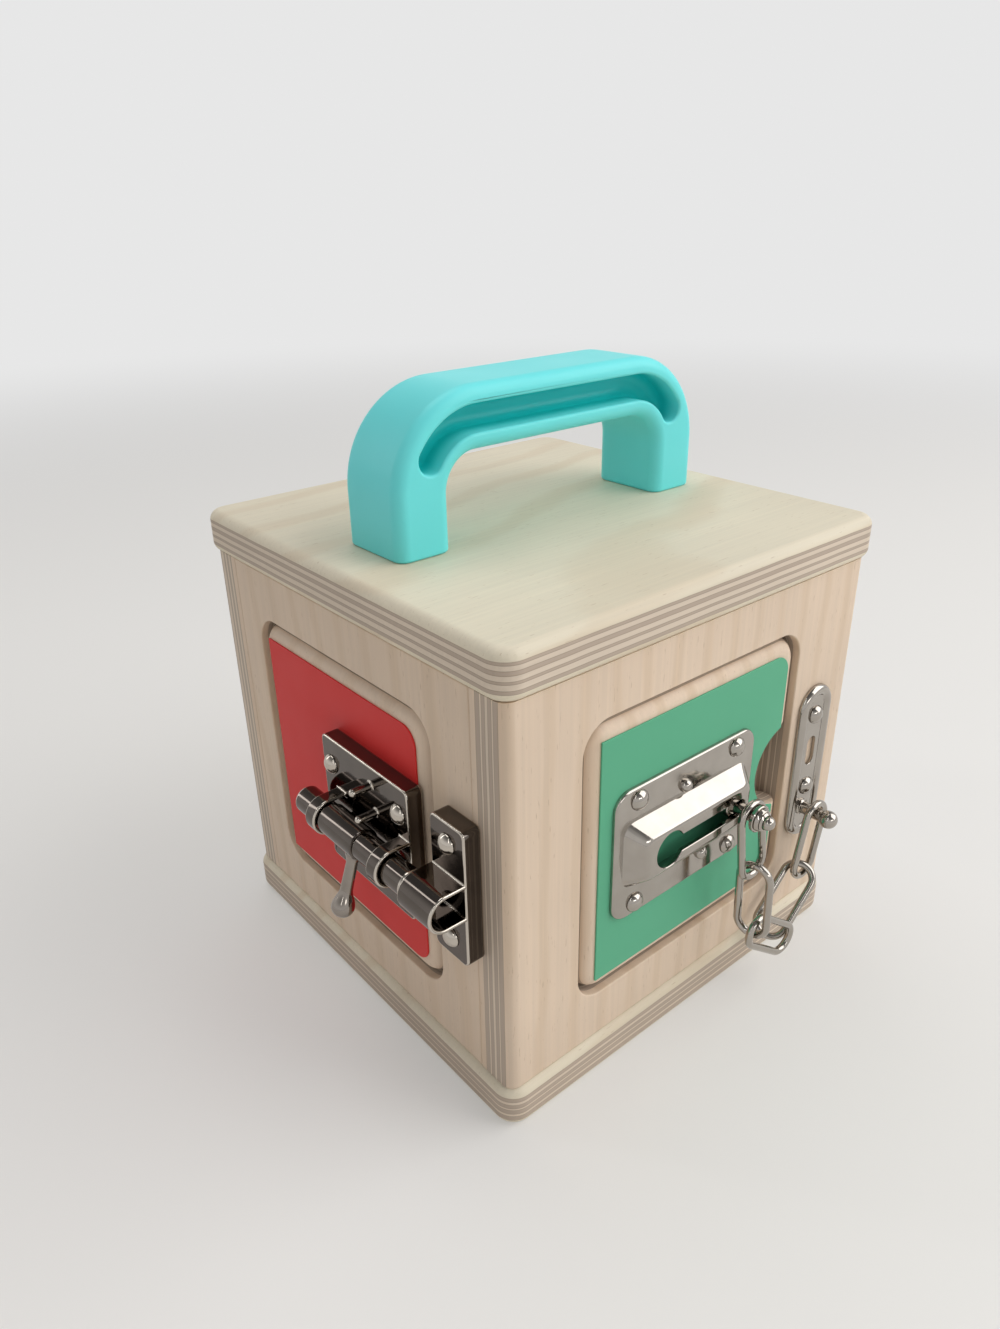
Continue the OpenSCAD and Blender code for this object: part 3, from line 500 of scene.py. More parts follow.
    # streaks and broad clouds change the lightness of all of it
    spanFrom, spanTo = wood["toneSpan"]
    tones = []
    for source, (dark, light) in ((streak, wood["streakTone"]), (cloud, wood["cloudTone"])):
        tones.append(addNode(tree, "ShaderNodeMapRange",
                             {"From Min": spanFrom, "From Max": spanTo, "To Min": dark, "To Max": light},
                             {"Value": source.outputs["Fac"]}))
    tone = addNode(tree, "ShaderNodeMath", links={0: tones[0].outputs[0], 1: tones[1].outputs[0]},
                   operation="MULTIPLY")
    toned = addNode(tree, "ShaderNodeVectorMath", links={0: whole.outputs[2], "Scale": tone.outputs[0]},
                    operation="SCALE")
    tree.links.new(toned.outputs[0], shader.inputs["Base Color"])

    satin, matt = wood["sheen"]
    sheen = addNode(tree, "ShaderNodeMapRange", {"To Min": satin, "To Max": matt},
                    {"Value": streak.outputs["Fac"]})
    tree.links.new(sheen.outputs[0], shader.inputs["Roughness"])
    ridge = addNode(tree, "ShaderNodeMath", {1: wood["layerSunk"]},
                    {0: inner.outputs[0], 2: streak.outputs["Fac"]}, operation="MULTIPLY_ADD")
    bump = addNode(tree, "ShaderNodeBump", {"Strength": wood["bump"], "Distance": mm(wood["bumpMm"])},
                   {"Height": ridge.outputs[0]})
    tree.links.new(bump.outputs[0], shader.inputs["Normal"])
    return material


dowelRod = {"light": "#C9A97E", "dark": "#B08C60", "rough": 0.6,
            "grainScale": (900, 900, 40)}  # about 1.1 mm across the grain and 25 mm along it


# Beech dowel rod, turned: plain tan wood, only seen if the box comes apart.
def beechDowel():
    material, tree, shader, place = startMaterial("beech dowel")
    grain = addNode(tree, "ShaderNodeMapping", {"Scale": dowelRod["grainScale"]}, {"Vector": place})
    streak = addNode(tree, "ShaderNodeTexNoise", {"Scale": 1, "Detail": 3}, {"Vector": grain.outputs[0]})
    tone = addNode(tree, "ShaderNodeMix",
                   {6: linearColour(dowelRod["light"]), 7: linearColour(dowelRod["dark"])},
                   {0: streak.outputs["Fac"]}, data_type="RGBA")
    tree.links.new(tone.outputs[2], shader.inputs["Base Color"])
    setSockets(shader, {"Roughness": dowelRod["rough"]})
    return material


mouldedPlastic = {
    "light": "#79EEF0",
    "deep": "#6EE5E6",
    # painted shade: the colour deep in the grooves
    "groove": "#22CCCC",
    "grooveShadeFromMm": 1,
    "grooveShadeToMm": 8,
    "cloudMm": 30,
    "sheen": (0.32, 0.44),
    "grainMm": 0.6,
    "bump": 0.12,
    "bumpMm": 0.03,
    "ior": 1.49,
    "specular": 0.3,
    "glow": 0.12,
    "glowMm": (1.2, 2.2, 2.0),
}


# Injection moulded polypropylene: an even satin skin with a little light inside it and a very fine
# orange peel. In the grooves a painted shade darkens the colour towards the bottom.
def turquoisePlastic(name, paintGrooveShade=False):
    skin = mouldedPlastic
    material, tree, shader, place = startMaterial(name)
    cloud = addNode(tree, "ShaderNodeTexNoise", {"Scale": 1000 / skin["cloudMm"], "Detail": 2},
                    {"Vector": place})
    tone = addNode(tree, "ShaderNodeMix", {6: linearColour(skin["light"]), 7: linearColour(skin["deep"])},
                   {0: cloud.outputs["Fac"]}, data_type="RGBA")
    # painted shade: the colour darkens with depth into the grooves
    if paintGrooveShade:
        low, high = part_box("handle")
        middle, half = (low.y + high.y) / 2, (high.y - low.y) / 2
        split = addNode(tree, "ShaderNodeSeparateXYZ", links={0: place})
        across = addNode(tree, "ShaderNodeMath", {1: middle}, {0: split.outputs["Y"]}, operation="SUBTRACT")
        aside = addNode(tree, "ShaderNodeMath", links={0: across.outputs[0]}, operation="ABSOLUTE")
        depth = addNode(tree, "ShaderNodeMapRange", {"From Min": half - mm(skin["grooveShadeFromMm"]),
                                                     "From Max": half - mm(skin["grooveShadeToMm"])},
                        {"Value": aside.outputs[0]}, interpolation_type="SMOOTHSTEP")
        tone = addNode(tree, "ShaderNodeMix", {7: linearColour(skin["groove"])},
                       {0: depth.outputs[0], 6: tone.outputs[2]}, data_type="RGBA")
    tree.links.new(tone.outputs[2], shader.inputs["Base Color"])
    peel = addNode(tree, "ShaderNodeTexNoise", {"Scale": 1000 / skin["grainMm"], "Detail": 2},
                   {"Vector": place})
    satin, matt = skin["sheen"]
    sheen = addNode(tree, "ShaderNodeMapRange", {"To Min": satin, "To Max": matt},
                    {"Value": cloud.outputs["Fac"]})
    tree.links.new(sheen.outputs[0], shader.inputs["Roughness"])
    bump = addNode(tree, "ShaderNodeBump", {"Strength": skin["bump"], "Distance": mm(skin["bumpMm"])},
                   {"Height": peel.outputs["Fac"]})
    tree.links.new(bump.outputs[0], shader.inputs["Normal"])
    setSockets(shader, {"IOR": skin["ior"], "Specular IOR Level": skin["specular"],
                        "Subsurface Weight": skin["glow"], "Subsurface Scale": 1.0,
                        "Subsurface Radius": [mm(reach) for reach in skin["glowMm"]]})
    return material


sheetColours = {"red": "#DD302E", "green": "#5EB48D", "yellow": "#E3B84C", "blue": "#4C86B8"}
laminate = {"grainMm": 0.45, "smudgeMm": 22, "faded": 0.94, "sheen": (0.42, 0.58), "specular": 0.3,
            "bump": 0.1, "bumpMm": 0.02}


# Printed plastic laminate: one flat satin colour with a fine pebble and faint smudges from hands.
def laminateSheet(colour):
    material, tree, shader, place = startMaterial(colour + " laminate sheet")
    pebble = addNode(tree, "ShaderNodeTexNoise", {"Scale": 1000 / laminate["grainMm"], "Detail": 2},
                     {"Vector": place})
    smudge = addNode(tree, "ShaderNodeTexNoise", {"Scale": 1000 / laminate["smudgeMm"], "Detail": 3},
                     {"Vector": place})
    base = linearColour(sheetColours[colour])
    faded = [c * laminate["faded"] for c in base[:3]] + [1.0]
    tone = addNode(tree, "ShaderNodeMix", {6: base, 7: faded}, {0: smudge.outputs["Fac"]}, data_type="RGBA")
    tree.links.new(tone.outputs[2], shader.inputs["Base Color"])
    satin, matt = laminate["sheen"]
    sheen = addNode(tree, "ShaderNodeMapRange", {"To Min": satin, "To Max": matt},
                    {"Value": smudge.outputs["Fac"]})
    tree.links.new(sheen.outputs[0], shader.inputs["Roughness"])
    bump = addNode(tree, "ShaderNodeBump",
                   {"Strength": laminate["bump"], "Distance": mm(laminate["bumpMm"])},
                   {"Height": pebble.outputs["Fac"]})
    tree.links.new(bump.outputs[0], shader.inputs["Normal"])
    setSockets(shader, {"Specular IOR Level": laminate["specular"]})
    return material


plating = {"smudgeMm": 7, "smudgeSpan": (0.35, 0.75), "waveMm": 9, "scratchMm": 0.12, "scratchLengthMm": 9,
           "scratchTurn": (0.5, 0.3, 0.7), "scratchShare": 0.02, "bump": 0.15, "bumpMm": 0.12}


# Electroplated steel, polished: a mirror with soft waves from the pressing, hazy spots and hair scratches.
def platedSteel(name, colour, tint, clear, hazy):
    metal = plating
    material, tree, shader, place = startMaterial(name)
    smudge = addNode(tree, "ShaderNodeTexNoise", {"Scale": 1000 / metal["smudgeMm"], "Detail": 4},
                     {"Vector": place})
    tone = addNode(tree, "ShaderNodeMix", {6: linearColour(colour), 7: linearColour(tint)},
                   {0: smudge.outputs["Fac"]}, data_type="RGBA")
    tree.links.new(tone.outputs[2], shader.inputs["Base Color"])
    across, along = 1000 / metal["scratchMm"], 1000 / metal["scratchLengthMm"]
    lines = addNode(tree, "ShaderNodeMapping",
                    {"Rotation": metal["scratchTurn"], "Scale": (across, along, across)}, {"Vector": place})
    scratch = addNode(tree, "ShaderNodeTexNoise", {"Scale": 1, "Detail": 1}, {"Vector": lines.outputs[0]})
    wave = addNode(tree, "ShaderNodeTexNoise", {"Scale": 1000 / metal["waveMm"], "Detail": 1},
                   {"Vector": place})
    spanFrom, spanTo = metal["smudgeSpan"]
    haze = addNode(tree, "ShaderNodeMapRange",
                   {"From Min": spanFrom, "From Max": spanTo, "To Min": clear, "To Max": hazy},
                   {"Value": smudge.outputs["Fac"]})
    tree.links.new(haze.outputs[0], shader.inputs["Roughness"])
    height = addNode(tree, "ShaderNodeMath", {1: metal["scratchShare"]},
                     {0: scratch.outputs["Fac"], 2: wave.outputs["Fac"]}, operation="MULTIPLY_ADD")
    bump = addNode(tree, "ShaderNodeBump", {"Strength": metal["bump"], "Distance": mm(metal["bumpMm"])},
                   {"Height": height.outputs[0]})
    tree.links.new(bump.outputs[0], shader.inputs["Normal"])
    setSockets(shader, {"Metallic": 1.0})
    return material


finishes = {  # the plated ones have two tones and the roughness where they are clear and where hazy
    "dowel_beech": beechDowel(),
    "turquoise_plastic": turquoisePlastic("turquoise moulded polypropylene"),
    # the same plastic with painted shade in the grooves
    "turquoise_groove_shade": turquoisePlastic("turquoise moulded polypropylene with painted groove shade", True),
    "black_nickel": platedSteel("black nickel plate", "#6D655F", "#5B5550", 0.03, 0.1),
    "bright_nickel": platedSteel("bright nickel plate", "#B6B0A8", "#A29B93", 0.06, 0.16),
    # painted highlight: lighter nickel for rounded edges and the pegs
    "painted_edge_highlight": platedSteel("nickel painted bright on the edges as a highlight", "#CFC7BC", "#B9B0A5", 0.08, 0.18),
    # painted highlight: the lever stem is lighter nickel standing in for its reflections
    "painted_highlight_nickel": platedSteel("black nickel painted lighter as a highlight", "#A39B93", "#8B837B", 0.05, 0.14),
    "screw_steel": platedSteel("nickel screw", "#CDC5BA", "#B8AFA4", 0.1, 0.22),
    "steel": platedSteel("drawn steel", "#A9A7A3", "#97948F", 0.25, 0.4),
}
for sheetColour in sheetColours:
    finishes[sheetColour + "_sheet"] = laminateSheet(sheetColour)
print("materials made")


# Wood: every board keeps its size and gets sanded edges
# the top and bottom boards get a paler, greener face than the walls and doors: painted sheen of the light on
# the top
paintedSheenFace, pinkFace = "#E5DAC3", "#E2CCB5"
edgeSegments = 4
woodBoards = {  # thickness axis, grain axis, colour of the face veneer, round of the edges in mm
    "bottom_board": ("Z", "X", paintedSheenFace, 0.7),
    "top_board": ("Z", "X", paintedSheenFace, 0.7),
    "front_wall": ("Y", "Z", pinkFace, 0.5),
    "back_wall": ("Y", "Z", pinkFace, 0.5),
    "left_wall": ("X", "Z", pinkFace, 0.5),
    "right_wall": ("X", "Z", pinkFace, 0.5),
    "green_door_panel": ("Y", "Z", pinkFace, 0.45),
    "yellow_door_panel": ("Y", "Z", pinkFace, 0.45),
    "red_door_panel": ("X", "Z", pinkFace, 0.45),
    "blue_door_panel": ("X", "Z", pinkFace, 0.45),
}
for seed, (node, (thickAxis, grainAxis, face, edgeRound)) in enumerate(woodBoards.items(), 1):
    board = copyNode(node, "sanded_" + node)
    if node.endswith("wall"):
        softenFaces(board, "XYZ".index(thickAxis), edgeRound, edgeSegments)
    else:
        soften(board, edgeRound, edgeSegments)
    dress(board, node, birchPlywood(node, thickAxis, grainAxis, face, seed))
print("wood sanded")


# The handle: the grooves are hollowed in steps to a round bottom and their rims rounded
grip = {"rim": 1.0, "rimSegments": 5, "rimAngle": 40, "grooveDepth": 8, "hollow": 2.8, "narrow": 3.5,
        "steps": 8, "weld": 0.2, "near": 0.05}


def hollowHandle():
    piece = copyNode("handle", "moulded_handle")
    coat(piece, finishes["turquoise_plastic"], finishes["turquoise_groove_shade"])
    low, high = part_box("handle")
    middle, half = (low.y + high.y) / 2, (high.y - low.y) / 2
    bottom = half - mm(grip["grooveDepth"])
    editNone(piece)
    endEdit()
    for point in piece.data.vertices:
        point.select = abs(abs(point.co.y - middle) - bottom) < mm(grip["near"])
    bpy.ops.object.mode_set(mode="EDIT")
    bpy.ops.mesh.remove_doubles(threshold=mm(grip["weld"]))
    bpy.ops.mesh.select_more()
    # these faces get the material with the painted groove shade
    piece.active_material_index = 1  # the walls and the bottom of the grooves
    bpy.ops.object.material_slot_assign()
    bpy.ops.mesh.select_less()
    bpy.ops.mesh.select_mode(type="FACE")
    leans = [math.radians(90 * i / grip["steps"]) for i in range(grip["steps"] + 1)]
    for last, lean in zip(leans, leans[1:]):
        bpy.ops.mesh.inset(thickness=mm(grip["narrow"]) * (math.cos(last) - math.cos(lean)),
                           depth=mm(grip["hollow"]) * (math.sin(last) - math.sin(lean)))
    bpy.ops.mesh.select_mode(type="VERT")
    endEdit()
    return piece


handle = hollowHandle()
soften(handle, grip["rim"], grip["rimSegments"], grip["rimAngle"])
dress(handle, "handle")
print("handle moulded")


# The coloured sheets
sheetEdge = {"round": 0.2, "segments": 2}
for sheetColour in sheetColours:
    node = sheetColour + "_sheet"
    sheet = copyNode(node, sheetColour + "_laminate")
    soften(sheet, sheetEdge["round"], sheetEdge["segments"])
    dress(sheet, node, finishes[node])
print("sheets cut")


# Screws: a turned dome with a thin rim on a plain shank
screw = {"headD": 6.6, "headH": 2.2, "shankD": 2.8, "tipShare": 0.3, "tipLength": 1.5, "rim": 0.35,
         "rimShare": 0.4, "underIn": 0.12, "domeIn": 0.03}
screwSides = {
    "bolt_plate_screws": "red",
    "keeper_screws": "red",
    "slide_plate_screws": "green",
    "anchor_screws": "green",
    "flat_bolt_screws": "yellow",
    "flat_keeper_screws": "yellow",
}


def domedScrew(name, length):
    head, shank, rim = screw["headD"] / 2, screw["shankD"] / 2, screw["rim"]
    rings = [(-length, shank * screw["tipShare"]), (screw["tipLength"] - length, shank), (0, shank),
             (0, head - screw["underIn"]), (rim * screw["rimShare"], head)]
    return turned(name, rings + domeRings(rim, head - screw["domeIn"], screw["headH"] - rim))


for node, side in screwSides.items():
    parts = []
    for low, high in solidBoxes(node):
        u, n, z = seenFrom(side, low, high)
        part = domedScrew(node + str(len(parts)), n[1] - n[0] - screw["headH"])
        setOnSide(part, side, sum(u) / 2, n[1] - screw["headH"], sum(z) / 2)
        parts.append(part)
    screws = joinPieces(*parts)
    screws.name = "domed_" + node
    dressTurned(screws, node, finishes[slotOf[node]])
print("screws turned")


# Barrel bolt on the red door: pressed plates keep their bends, the rod and the lever are turned
boltEdges = {  # name, round in mm, segments and the least angle of the edges that get a painted highlight
    "bolt_plate": ("pressed_bolt_plate", 0.55, 4, 35),
    "keeper": ("pressed_keeper", 0.55, 4, 35),
    "bolt_rod": ("turned_bolt_rod", 0.4, 3, 30),
}
for node, (name, edgeRound, segments, angle) in boltEdges.items():
    plated = copyNode(node, name)
    coat(plated, finishes["black_nickel"], finishes["painted_edge_highlight"])
    # the rounds of the edges take the second slot, lighter nickel that paints a highlight
    soften(plated, edgeRound, segments, angle, edgeSlot=1)
    dress(plated, node)

lever = {"sleeveD": 10.2, "boreD": 7.4, "edge": 0.5, "edgeShare": 0.3, "fromEnd": 4, "lean": 18,
         "rootIn": 0.6, "rootR": 2.9, "collar": ((0, 2.61), (1.0, 2.1), (2.4, 1.8)), "neckR": 1.95,
         "dropR": 3.65, "length": 25.9, "dropLength": 9.5, "capLength": 3.4, "dropSteps": 12, "capSteps": 8,
         "around": 40}


def dropLever():
    u = seenFrom("red", *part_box("bolt_lever"))[0]
    rodN, rodZ = seenFrom("red", *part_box("bolt_rod"))[1:]
    axisN, axisZ = sum(rodN) / 2, sum(rodZ) / 2
    outer, bore, run = lever["sleeveD"] / 2, lever["boreD"] / 2, u[1] - u[0]
    edge, corner = lever["edge"], lever["edge"] * lever["edgeShare"]
    sleeve = turnedTube("sleeve", [(0, bore), (0, outer - edge), (corner, outer - corner), (edge, outer),
                                   (run - edge, outer), (run - corner, outer - corner),
                                   (run, outer - edge), (run, bore)])
    setOnSide(sleeve, "red", u[0], axisN, axisZ, sideways)
    # the stem leaves the sleeve, thins, and swells to a drop with a round end
    neck, drop = lever["neckR"], lever["dropR"]
    swell, cap = lever["length"] - lever["dropLength"], lever["length"] - lever["capLength"]
    rings = [(bore + lever["rootIn"], lever["rootR"])]
    rings += [(outer + away, radius) for away, radius in lever["collar"]]
    for i in range(lever["dropSteps"] + 1):
        share = i / lever["dropSteps"]
        rings.append((swell + share * (cap - swell), neck + (drop - neck) * share ** 2 * (3 - 2 * share)))
    for i in range(1, lever["capSteps"]):
        lean = math.radians(90 * i / lever["capSteps"])
        rings.append((cap + lever["capLength"] * math.sin(lean), drop * math.cos(lean)))
    stem = turned("stem", rings + [(lever["length"], 0)], lever["around"])
    down = Matrix.Rotation(math.radians(180 - lever["lean"]), 4, "X")
    setOnSide(stem, "red", u[1] - lever["fromEnd"], axisN, axisZ, down)
    coat(sleeve, finishes["black_nickel"])
    # the stem gets the lighter nickel, a painted highlight
    coat(stem, finishes["painted_highlight_nickel"])
    whole = joinPieces(sleeve, stem)
    whole.name = "drop_lever"
    return whole


dressTurned(dropLever(), "bolt_lever")

pegs = {"plateDeep": 5.5, "clear": 0.1, "reach": 1.6,
        "places": ((0, 15.8), (2, 7.4))}  # beside the lever and above the rod


def paintPegHighlights(plate):
    # the two pegs get the painted highlight all over
    leverU = seenFrom("red", *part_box("bolt_lever"))[0][1] - lever["fromEnd"]
    rodZ = sum(seenFrom("red", *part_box("bolt_rod"))[2]) / 2
    front = seenFrom("red", *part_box("bolt_plate"))[1][0] + pegs["plateDeep"] + pegs["clear"]
    for face in plate.data.polygons:
        u, n, z = (span[0] for span in seenFrom("red", face.center, face.center))
        for beside, above in pegs["places"]:
            if n > front and math.hypot(u - leverU - beside, z - rodZ - above) < pegs["reach"]:
                face.material_index = 1


paintPegHighlights(bpy.data.objects["pressed_bolt_plate"])
print("barrel bolt made")


# Door chain on the green door
raisedBox = {
    "metal": 1.4,
    "corner": 6,
    "cornerSegments": 12,
    "roll": 0.9,
    "foot": (56, 23),
    "bend": 4.4,
    "slope": ((1.39, 0), (5.9, 3.5), (6.35, 3.9), (6.7, 4.32), (6.95, 4.8), (7.12, 5.35), (7.2, 6.0)),
    "innerFoot": (56.2, 23.2),
    "innerBend": 2.64,
    "innerSlope": ((-1, 0), (5.8, 5.28)),
    "slotWide": 6,
    "entryD": 12,
    "entryAt": -13.5,
    "slotEnd": 18.5,
    "cut": ((2, 0), (6.8, 0), (6.98, -0.05), (7.12, -0.18), (7.3, -0.4)),
    "bumpR": 2.2,
    "bumpSunk": 0.3,
    "bumpAround": 32,
    "bumps": ((-2, 14.7), (8, -14.7)),
}


def pressedSlidePlate():
    box = raisedBox
    u, n, z = seenFrom("green", *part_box("slide_plate"))
    outline = roundedFace("pressed_slide_plate", u[1] - u[0], z[1] - z[0], box["corner"], box["cornerSegments"])
    plate = raiseFace(outline, [(0, 0)] + rolledRim(box["metal"], box["roll"]))
    raised = raiseFace(roundedFace("raised", *box["foot"], box["bend"]), box["slope"])
    combine(plate, raised, "UNION")
    inner = raiseFace(roundedFace("inner", *box["innerFoot"], box["innerBend"]), box["innerSlope"])
    combine(plate, inner, "DIFFERENCE")
    # the keyhole, with a rounded lip
    entry = raiseFace(oblong("entry", box["entryD"], box["entryD"]), box["cut"], (box["entryAt"], 0))
    combine(plate, entry, "DIFFERENCE")
    run = box["slotEnd"] - box["entryAt"]
    slot = oblong("slot", run + box["slotWide"], box["slotWide"])
    combine(plate, raiseFace(slot, box["cut"], (box["entryAt"] + run / 2, 0)), "DIFFERENCE")
    bumps = []
    rings = [(box["metal"] - box["bumpSunk"], box["bumpR"])]
    rings += domeRings(box["metal"], box["bumpR"], box["bumpR"])
    for x, y in box["bumps"]:
        bump = turned("bump", rings, box["bumpAround"])
        bump.location = (mm(x), mm(y), 0)
        applyPlace(bump)
        bumps.append(bump)
    plate = joinPieces(plate, *bumps)
    setOnSide(plate, "green", sum(u) / 2, n[0], sum(z) / 2)
    return plate


dressTurned(pressedSlidePlate(), "slide_plate", finishes["bright_nickel"])

stud = {"headR": 4.0, "headT": 1.8, "neckR": 2.2, "edge": 0.25, "ballR": 2.3, "ballAt": 4.0, "ballNeckR": 1.9,
        "steps": ((4.5, 4.5, 0, 1.4), (3.8, 3.5, 1.4, 2.8), (3.1, 2.7, 2.8, 3.6))}


def steppedStud():
    u, n, z = seenFrom("green", *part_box("chain_stud"))
    head, thick, neck, edge = stud["headR"], stud["headT"], stud["neckR"], stud["edge"]
    flange = n[1] - n[0] - stud["ballR"] - stud["ballAt"]
    rings = [(0, head - edge), (edge, head), (thick - edge, head), (thick, head - edge), (thick, neck),
             (flange, neck)]
    for wide, narrow, start, end in stud["steps"]:
        start, end = start + flange, end + flange
        rings += [(start, wide - edge), (start + edge, wide), (end - edge, narrow), (end, narrow - edge)]
    rings += ballRings(flange + stud["ballAt"], stud["ballR"], stud["ballNeckR"])
    piece = turned("stepped_stud", rings)
    setOnSide(piece, "green", sum(u) / 2, n[0], sum(z) / 2)
    return piece


dressTurned(steppedStud(), "chain_stud", finishes["bright_nickel"])

for number in "12345":
    node = "chain_link_" + number
    link = copyNode(node, "wire_link_" + number)
    smooth(link)
    dress(link, node, finishes["bright_nickel"])

# anchor plate: each step goes in from the outline and up, so the rim rolls over into the dish
anchor = {"wide": 17, "long": 60, "wall": 0.7, "slotWide": 4.6, "slotLong": 11, "slotUp": 4.75,
          "slotCut": ((-1, 0), (5, 0)), "edge": 0.25, "edgeSegments": 2, "edgeAngle": 55,
          "steps": ((0.12, 0.45), (0.3, 0.5), (0.45, 0.4), (0.6, 0.25), (0.65, 0.1), (0.65, -0.08),
                    (0.5, -0.27), (0.4, -0.4), (0.3, -0.25))}


def dishedAnchor():
    u, n, z = seenFrom("green", *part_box("anchor_plate"))
    piece = oblong("dished_anchor_plate", anchor["wide"], anchor["long"])
    editAll(piece)
    bpy.ops.mesh.extrude_region_move(TRANSFORM_OT_translate={"value": (0, 0, mm(anchor["wall"]))})
    for inset, rise in anchor["steps"]:
        bpy.ops.mesh.inset(thickness=mm(inset), depth=mm(rise))
    bpy.ops.mesh.select_all(action="SELECT")
    bpy.ops.mesh.normals_make_consistent(inside=False)
    endEdit()
    slot = oblong("slot", anchor["slotWide"], anchor["slotLong"])
    combine(piece, raiseFace(slot, anchor["slotCut"], (0, anchor["slotUp"])), "DIFFERENCE")
    setOnSide(piece, "green", sum(u) / 2, n[0], sum(z) / 2)
    return piece


anchorPiece = dishedAnchor()
soften(anchorPiece, anchor["edge"], anchor["edgeSegments"], anchor["edgeAngle"])
dress(anchorPiece, "anchor_plate", finishes["bright_nickel"])

post = {"neckR": 2.2, "tip": 0.3, "ballR": 3.2, "seatUp": 1.4, "collarR": 3.0, "collarT": 0.9,
        "collarShare": 0.6, "flare": 0.2, "flareT": 0.3}


def ballPost():
    u, n, z = seenFrom("green", *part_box("anchor_post"))
    plateN = seenFrom("green", *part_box("anchor_plate"))[1]
    neck, collar, thick = post["neckR"], post["collarR"], post["collarT"]
    top, seat = n[1] - n[0], plateN[0] + post["seatUp"] - n[0]
    rings = [(0, neck - post["tip"]), (post["tip"], neck), (seat, neck), (seat, collar),
             (seat + thick * post["collarShare"], collar), (seat + thick, neck + post["flare"]),
             (seat + thick + post["flareT"], neck)]
    piece = turned("ball_post", rings + ballRings(top - post["ballR"], post["ballR"], neck))
    setOnSide(piece, "green", sum(u) / 2, n[0], sum(z) / 2)
    return piece


dressTurned(ballPost(), "anchor_post", finishes["bright_nickel"])
print("door chain made")


# Flat bolt on the yellow door and turn button and knob on the blue door
polishedEdge = {"round": 0.35, "segments": 3}
for node in ("flat_bolt_plate", "flat_bolt_bar", "flat_keeper", "turn_button", "turn_post"):
    polished = copyNode(node, "polished_" + node)
    soften(polished, polishedEdge["round"], polishedEdge["segments"])
    dress(polished, node, finishes["bright_nickel"])

knob = {"shankR": 1.4, "tipShare": 0.4, "tipLength": 1.2, "foot": ((0, 5.8), (0.4, 6.0), (1.0, 5.7)),
        "waistUp": 1.6, "waistLength": 6.4, "waistR": 3.9, "waistFlare": 1.6, "waistSteps": 8,
        "cap": ((9.2, 7.1), (10.2, 7.9), (10.9, 8.0)), "domeUp": 11.2, "domeR": 7.95}


def pullKnob():
    u, n, z = seenFrom("blue", *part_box("pull_knob"))
    sheetN = seenFrom("blue", *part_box("blue_sheet"))[1]
    seat, top, shank = sheetN[1] - n[0], n[1] - n[0], knob["shankR"]
    rings = [(0, shank * knob["tipShare"]), (knob["tipLength"], shank), (seat, shank)]
    rings += [(seat + up, radius) for up, radius in knob["foot"]]
    for i in range(knob["waistSteps"] + 1):
        share = i / knob["waistSteps"]
        rings.append((seat + knob["waistUp"] + share * knob["waistLength"],
                      knob["waistR"] + knob["waistFlare"] * (2 * share - 1) ** 2))
    rings += [(seat + up, radius) for up, radius in knob["cap"]]
    rings += domeRings(seat + knob["domeUp"], knob["domeR"], top - seat - knob["domeUp"])
    piece = turned("turned_pull_knob", rings)
    setOnSide(piece, "blue", sum(u) / 2, n[0], sum(z) / 2)
    return piece


dressTurned(pullKnob(), "pull_knob", finishes["bright_nickel"])
print("flat bolt, turn button and knob made")


# Dowels, pins and the screws under the handle keep their CAD shape
for node in ("wall_dowels", "handle_screws", "red_pivot_pins", "green_pivot_pins", "yellow_pivot_pins",
             "blue_pivot_pins"):
    coat(frame["nodes"][node], finishes[slotOf[node]])


# Floor, light and camera
studio = {
    "floor": "#F0EDE8",
    "floorR": 9.0,
    "floorAround": 96,
    "floorInset": 0.8,
    "floorRough": 0.75,
    "floorGlow": 0.3,
    "fade": (0.45, 1.7),  # metres from the box
    "ambient": 0.29,
    "backdrop": 0.8,
    "ceiling": 0.2,
    "ceilingSpan": (0.2, 0.75),  # how steeply one looks up
    "aim": (0, 0, 0.1),
}


def seenRays(tree):
    # 1 for what is seen straight, in a mirror or through glass, and 0 for the light on the pieces
    rays = addNode(tree, "ShaderNodeLightPath").outputs
    straight = addNode(tree, "ShaderNodeMath", links={0: rays["Is Camera Ray"], 1: rays["Is Glossy Ray"]},
                       operation="MAXIMUM")
    return addNode(tree, "ShaderNodeMath",
                   links={0: straight.outputs[0], 1: rays["Is Transmission Ray"]},
                   operation="MAXIMUM").outputs[0]


def paleFloor():
    bpy.ops.object.select_all(action="DESELECT")
    bpy.ops.mesh.primitive_circle_add(vertices=studio["floorAround"], radius=studio["floorR"],
                                      fill_type="NGON", location=(0, 0, 0))
    floor = bpy.context.object
    floor.name = "floor"
    editAll(floor)
    bpy.ops.mesh.inset(thickness=studio["floorR"] * studio["floorInset"])
    endEdit()
    material, tree, shader, place = startMaterial("pale paper floor")
    setSockets(shader, {"Roughness": studio["floorRough"], "Base Color": linearColour(studio["floor"])})
    # the paper fades into the backdrop, and near the box it keeps the shadow
    away = addNode(tree, "ShaderNodeVectorMath", links={0: place}, operation="LENGTH")
    fadeFrom, fadeTo = studio["fade"]
    fade = addNode(tree, "ShaderNodeMapRange",
                   {"From Min": fadeFrom, "From Max": fadeTo, "To Min": studio["floorGlow"], "To Max": 1.0},
                   {"Value": away.outputs["Value"]}, interpolation_type="SMOOTHSTEP")
    share = addNode(tree, "ShaderNodeMath", links={0: fade.outputs[0], 1: seenRays(tree)},
                    operation="MULTIPLY")
    glow = addNode(tree, "ShaderNodeEmission", {"Color": (1, 1, 1, 1), "Strength": studio["backdrop"]})
    blend = addNode(tree, "ShaderNodeMixShader",
                    links={0: share.outputs[0], 1: shader.outputs[0], 2: glow.outputs[0]})
    tree.links.new(blend.outputs[0], tree.nodes["Material Output"].inputs["Surface"])
    floor.data.materials.append(material)


